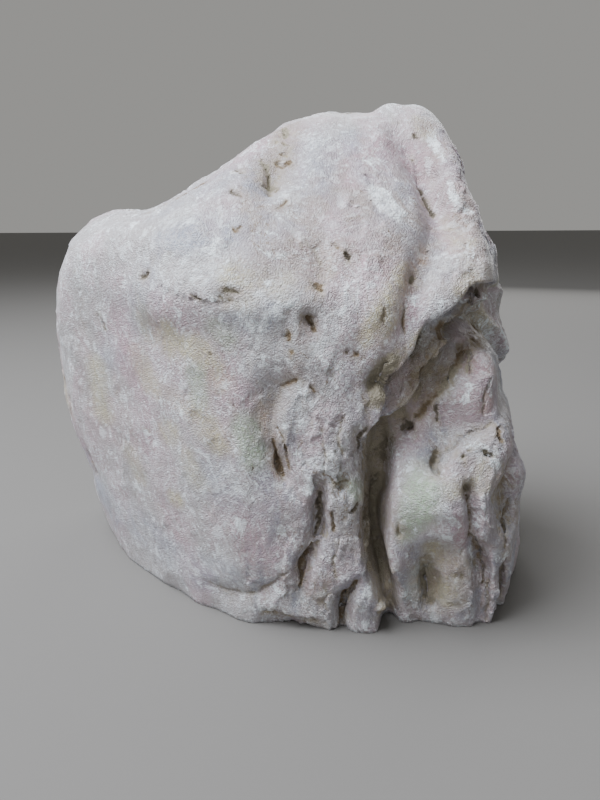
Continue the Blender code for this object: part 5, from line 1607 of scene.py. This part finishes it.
    def scratches(self, wiring: Wiring, effects: Effects) -> bpy.types.NodeSocket:
        """Lays the scratches and the flecks, which lie every way.

        Args:
            wiring: The material's wiring.
            effects: The shared node groups.

        Returns:
            Where they are.
        """
        lines = effects.place(wiring, effects.wisps, Size=0.0110, Stretch=2.2, Lean=0.45, Width=0.010)["Mask"]
        net = effects.place(wiring, effects.wisps, Size=0.0058, Stretch=2.0, Lean=-0.6, Width=0.016)["Mask"]
        marks = wiring.larger(wiring.times(lines, self.line_strength), wiring.times(net, self.line_strength))
        for layer in self.flecks:
            fleck = effects.place(
                wiring, effects.flecks, Size=layer.size, Stretch=layer.stretch, Lean=layer.lean,
                Share=layer.share, Ragged=layer.ragged,
            )["Mask"]
            marks = wiring.larger(marks, wiring.times(fleck, layer.strength))
        return marks

    def crushing(self, wiring: Wiring, effects: Effects) -> bpy.types.NodeSocket:
        """Crushes the stone white: a frosty veil, scratches and flecks, crushed white on raised edges that is
        partly a painted highlight, and bruises.

        Args:
            wiring: The material's wiring.
            effects: The shared node groups.

        Returns:
            How white the stone is.
        """
        frost = effects.place(wiring, effects.clouds, Size=0.019, Low=0.42, High=0.66, Ragged=0.62)["Mask"]
        crumbs = effects.place(wiring, effects.clouds, Size=0.0055, Low=0.50, High=0.60, Ragged=0.74)["Mask"]
        sugar = effects.place(wiring, effects.mottle, Size=0.0014, Low=0.47, High=0.60)["Mask"]
        # Stain and the painted shade laid with it keep the stone clear of white.
        stains_and_shade = wiring.larger(wiring.mask(Tint.RUST), wiring.mask(Tint.STAIN_AND_SHADE))
        clear = wiring.larger(wiring.mask(Tint.CREAM), wiring.mask(Tint.GREEN))
        tinted = wiring.larger(wiring.mask(Tint.PINK), wiring.mask(Tint.COOL))
        clear = wiring.larger(clear, wiring.times(tinted, self.tinted_share))
        clear = wiring.larger(clear, wiring.larger(stains_and_shade, wiring.mask(Tint.HOLLOW)))
        veil = wiring.times(frost, wiring.over(sugar, *self.veil_on_sugar))
        veil = wiring.times(veil, wiring.over(clear, *self.veil_on_clear))
        marks = wiring.times(self.scratches(wiring, effects), wiring.over(frost, *self.marks_on_frost))
        marks = wiring.times(marks, wiring.over(clear, *self.marks_on_clear))
        # Partly painted highlight: every raised edge is whitened, as crushed stone and as light catching it.
        edges = wiring.times(wiring.mask(Tint.PROUD), wiring.over(sugar, *self.edges_on_sugar))
        edges = wiring.times(edges, wiring.over(stains_and_shade, *self.edges_on_stain))
        white = wiring.maths("ADD", wiring.larger(veil, marks), edges, clamp=True)
        of_mask, of_crumbs, of_sugar = self.bruise_parts
        bruise = wiring.times(wiring.mask(Tint.CRUSHED), of_mask)
        bruise = wiring.plus(bruise, wiring.times(crumbs, of_crumbs))
        bruise = wiring.plus(bruise, wiring.times(sugar, of_sugar))
        return wiring.larger(white, wiring.rise(bruise, *self.bruise_range))

    def soils(self, wiring: Wiring, effects: Effects, colour: bpy.types.NodeSocket) -> tuple:
        """Lays the soils over the stone, and tan as painted shade in its hollows.

        Args:
            wiring: The material's wiring.
            effects: The shared node groups.
            colour: The clean stone's colour.

        Returns:
            The stone's colour with its soil and painted shade, and where soil and painted shade lie.
        """
        torn = wiring.larger(wiring.mask(Tint.ROUGH), wiring.mask(Tint.STAIN_AND_SHADE))
        # Hollows get tan painted shade, more where the stone is torn.
        hollow = wiring.times(wiring.mask(Tint.HOLLOW), wiring.over(torn, *self.hollow_on_torn))
        hair = effects.place(wiring, effects.wisps, Size=0.012, Stretch=2.4, Lean=0.15, Width=0.011)["Mask"]
        patches = effects.place(wiring, effects.clouds, Size=0.018, Low=0.48, High=0.58)["Mask"]
        hair = wiring.times(hair, wiring.times(patches, wiring.over(torn, *self.hair_on_torn)))
        colour = wiring.blend(hair, colour, self.brown_soil)
        soil_and_shade = 0.0
        for soil in (
            Soil(Tint.TAN, self.tan_soil_and_shade, 0.0040, -0.55, 1.50),
            Soil(Tint.BROWN, self.brown_soil, 0.0026, -0.25, 1.15),
            Soil(Tint.OLIVE, self.olive_soil, 0.0024, -0.15, 1.05),
            Soil(Tint.DARK, self.dark_soil, 0.0020, -0.10, 0.95),
        ):
            where = wiring.mask(soil.tint)
            # Partly painted shade: tan is also laid in every hollow of the skin, so hollows darken as if
            # shaded.
            if soil.tint is Tint.TAN:
                where = wiring.maths("ADD", where, hollow, clamp=True)
            laid = effects.place(
                wiring, effects.soil, Colour=colour, Soil_Colour=soil.colour, Where=where,
                Size=soil.size, Low=soil.low, High=soil.high,
            )
            colour = laid["Colour"]
            soil_and_shade = wiring.larger(soil_and_shade, laid["Mask"])
        return colour, soil_and_shade

    def bump(self, wiring: Wiring, effects: Effects, white: bpy.types.NodeSocket) -> bpy.types.NodeSocket:
        """Raises the fine grain, the grit and the crushed flecks.

        Args:
            wiring: The material's wiring.
            effects: The shared node groups.
            white: How white the stone is crushed.

        Returns:
            The normal.
        """
        grain = effects.place(wiring, effects.grain, Size=0.0017, Stretch=2.2, Lean=0.25)["Height"]
        grit = effects.place(wiring, effects.grit, Size=0.0007)["Height"]
        crystal = effects.place(wiring, effects.grit, Size=0.0019)["Height"]
        rough = wiring.over(wiring.mask(Tint.ROUGH), self.calm_relief, 1.0)
        height = wiring.times(grain, self.grain_relief)
        height = wiring.plus(height, wiring.times(crystal, self.crystal_relief))
        height = wiring.plus(wiring.times(height, rough), wiring.times(grit, self.grit_relief))
        height = wiring.plus(height, wiring.times(white, self.white_relief))
        inputs = {"Distance": self.relief, "Strength": self.relief_strength, "Height": height}
        return wiring.node("ShaderNodeBump", inputs).outputs[0]


@dataclass(frozen=True)
class FlatBase:
    """The finish of the flat base: chalky stone with fine grit and a little soil."""

    chalk: tuple = (0.640, 0.625, 0.630, 1.0)
    shade: tuple = (0.520, 0.480, 0.480, 1.0)
    soil: tuple = (0.300, 0.262, 0.205, 1.0)
    roughness: float = 0.78
    relief: float = 0.0003

    def material(self, effects: Effects) -> bpy.types.Material:
        """Makes the material.

        Args:
            effects: The shared node groups.

        Returns:
            The finished material.
        """
        material = bpy.data.materials.new("flat soapstone base")
        material.use_nodes = True
        wiring = Wiring(material.node_tree)
        shader = material.node_tree.nodes["Principled BSDF"]
        cloud = effects.place(wiring, effects.clouds, Size=0.02, Low=0.4, High=0.62)["Mask"]
        colour = wiring.blend(cloud, self.chalk, self.shade)
        patches = effects.place(wiring, effects.clouds, Size=0.009, Low=0.6, High=0.78)["Mask"]
        laid = effects.place(
            wiring, effects.soil, Colour=colour, Soil_Colour=self.soil, Where=patches, Size=0.0016
        )
        wiring.feed(shader.inputs["Base Color"], laid["Colour"])
        shader.inputs["Roughness"].default_value = self.roughness
        grit = effects.place(wiring, effects.grit, Size=0.0008)["Height"]
        raised = wiring.node("ShaderNodeBump", {"Distance": self.relief, "Height": grit})
        wiring.feed(shader.inputs["Normal"], raised.outputs[0])
        return material


@dataclass(frozen=True)
class PlainPaint:
    """A plain matt colour, for the floor."""

    name: str
    colour: tuple
    roughness: float = 0.85

    def material(self) -> bpy.types.Material:
        """Makes the material.

        Returns:
            The finished material.
        """
        material = bpy.data.materials.new(self.name)
        material.use_nodes = True
        shader = material.node_tree.nodes["Principled BSDF"]
        shader.inputs["Base Color"].default_value = self.colour
        shader.inputs["Roughness"].default_value = self.roughness
        return material


@dataclass(frozen=True)
class SoftLight:
    """A large soft light that faces a point."""

    name: str
    at: tuple
    size: float
    power: float
    colour: tuple = (1.0, 1.0, 1.0)
    facing: tuple = (0.0, 0.0, 0.10)

    def build(self) -> None:
        """Makes the light."""
        lamp = bpy.data.lights.new(self.name, "AREA")
        lamp.size = self.size
        lamp.energy = self.power
        lamp.color = self.colour
        light = placed(self.name, lamp)
        light.location = self.at
        aim = np.array(self.facing) - np.array(self.at)
        flat = math.hypot(aim[0], aim[1])
        light.rotation_euler = (math.atan2(flat, -aim[2]), 0.0, math.atan2(-aim[0], aim[1]))


@dataclass
class Studio:
    """The plain pale floor, the soft light and the camera."""

    floor_size: float = 30.0
    floor_gap: float = 0.0002
    floor_colour: tuple = (0.155, 0.152, 0.146, 1.0)
    sky_colour: tuple = (0.300, 0.296, 0.284, 1.0)
    sky_strength: float = 1.07
    camera_at: tuple = (0.0056, -0.3303, 0.1847)
    camera_pitch: float = 15.8
    camera_roll: float = 0.25
    camera_lens: float = 28.08
    camera_sensor: float = 36.0
    camera_nearest: float = 0.01
    lights: tuple = (
        SoftLight("overhead softbox", (-0.64, -0.22, 1.25), 1.0, 54.0, (0.930, 0.952, 1.0)),
        SoftLight("front softbox", (-0.32, -1.60, 0.20), 1.4, 4.6, (1.0, 0.970, 0.945)),
        SoftLight("back fill", (0.50, 1.30, 0.70), 1.2, 9.0),
    )

    def build_floor(self) -> None:
        """Makes the floor that the stone stands on."""
        half = self.floor_size / 2
        mesh = bpy.data.meshes.new("floor")
        corners = [(-half, -half, 0), (half, -half, 0), (half, half, 0), (-half, half, 0)]
        mesh.from_pydata(corners, [], [(0, 1, 2, 3)])
        mesh.materials.append(PlainPaint("pale floor", self.floor_colour).material())
        floor = placed("floor", mesh)
        floor.location.z = CAD_BOX[0][2] - self.floor_gap

    def build_sky(self) -> None:
        """Gives the world its plain pale light."""
        world = bpy.data.worlds.new("pale studio")
        world.use_nodes = True
        background = world.node_tree.nodes["Background"]
        background.inputs["Color"].default_value = self.sky_colour
        background.inputs["Strength"].default_value = self.sky_strength
        bpy.context.scene.world = world

    def build_camera(self) -> None:
        """Places the camera where the photograph was taken from."""
        data = bpy.data.cameras.new("camera")
        data.lens = self.camera_lens
        data.sensor_width = self.camera_sensor
        data.clip_start = self.camera_nearest
        camera = placed("camera", data)
        camera.location = self.camera_at
        camera.rotation_euler = (math.radians(90 - self.camera_pitch), math.radians(self.camera_roll), 0)
        bpy.context.scene.camera = camera

    def build(self) -> None:
        """Makes the camera, the floor, the sky and the lights."""
        self.build_camera()
        self.build_floor()
        self.build_sky()
        for light in self.lights:
            light.build()


def main() -> None:
    """Builds the studio and the stone, and reports each of them."""
    logging.basicConfig(level=logging.INFO, format="%(name)s: %(message)s")
    studio = Studio()
    studio.build()
    LOG.info("studio: floor, %d lights and camera", len(studio.lights))
    stone = StoneBlock().build()
    LOG.info("%s: %d faces, rides on root", stone.name, len(stone.data.polygons))


if __name__ == "__main__":
    main()
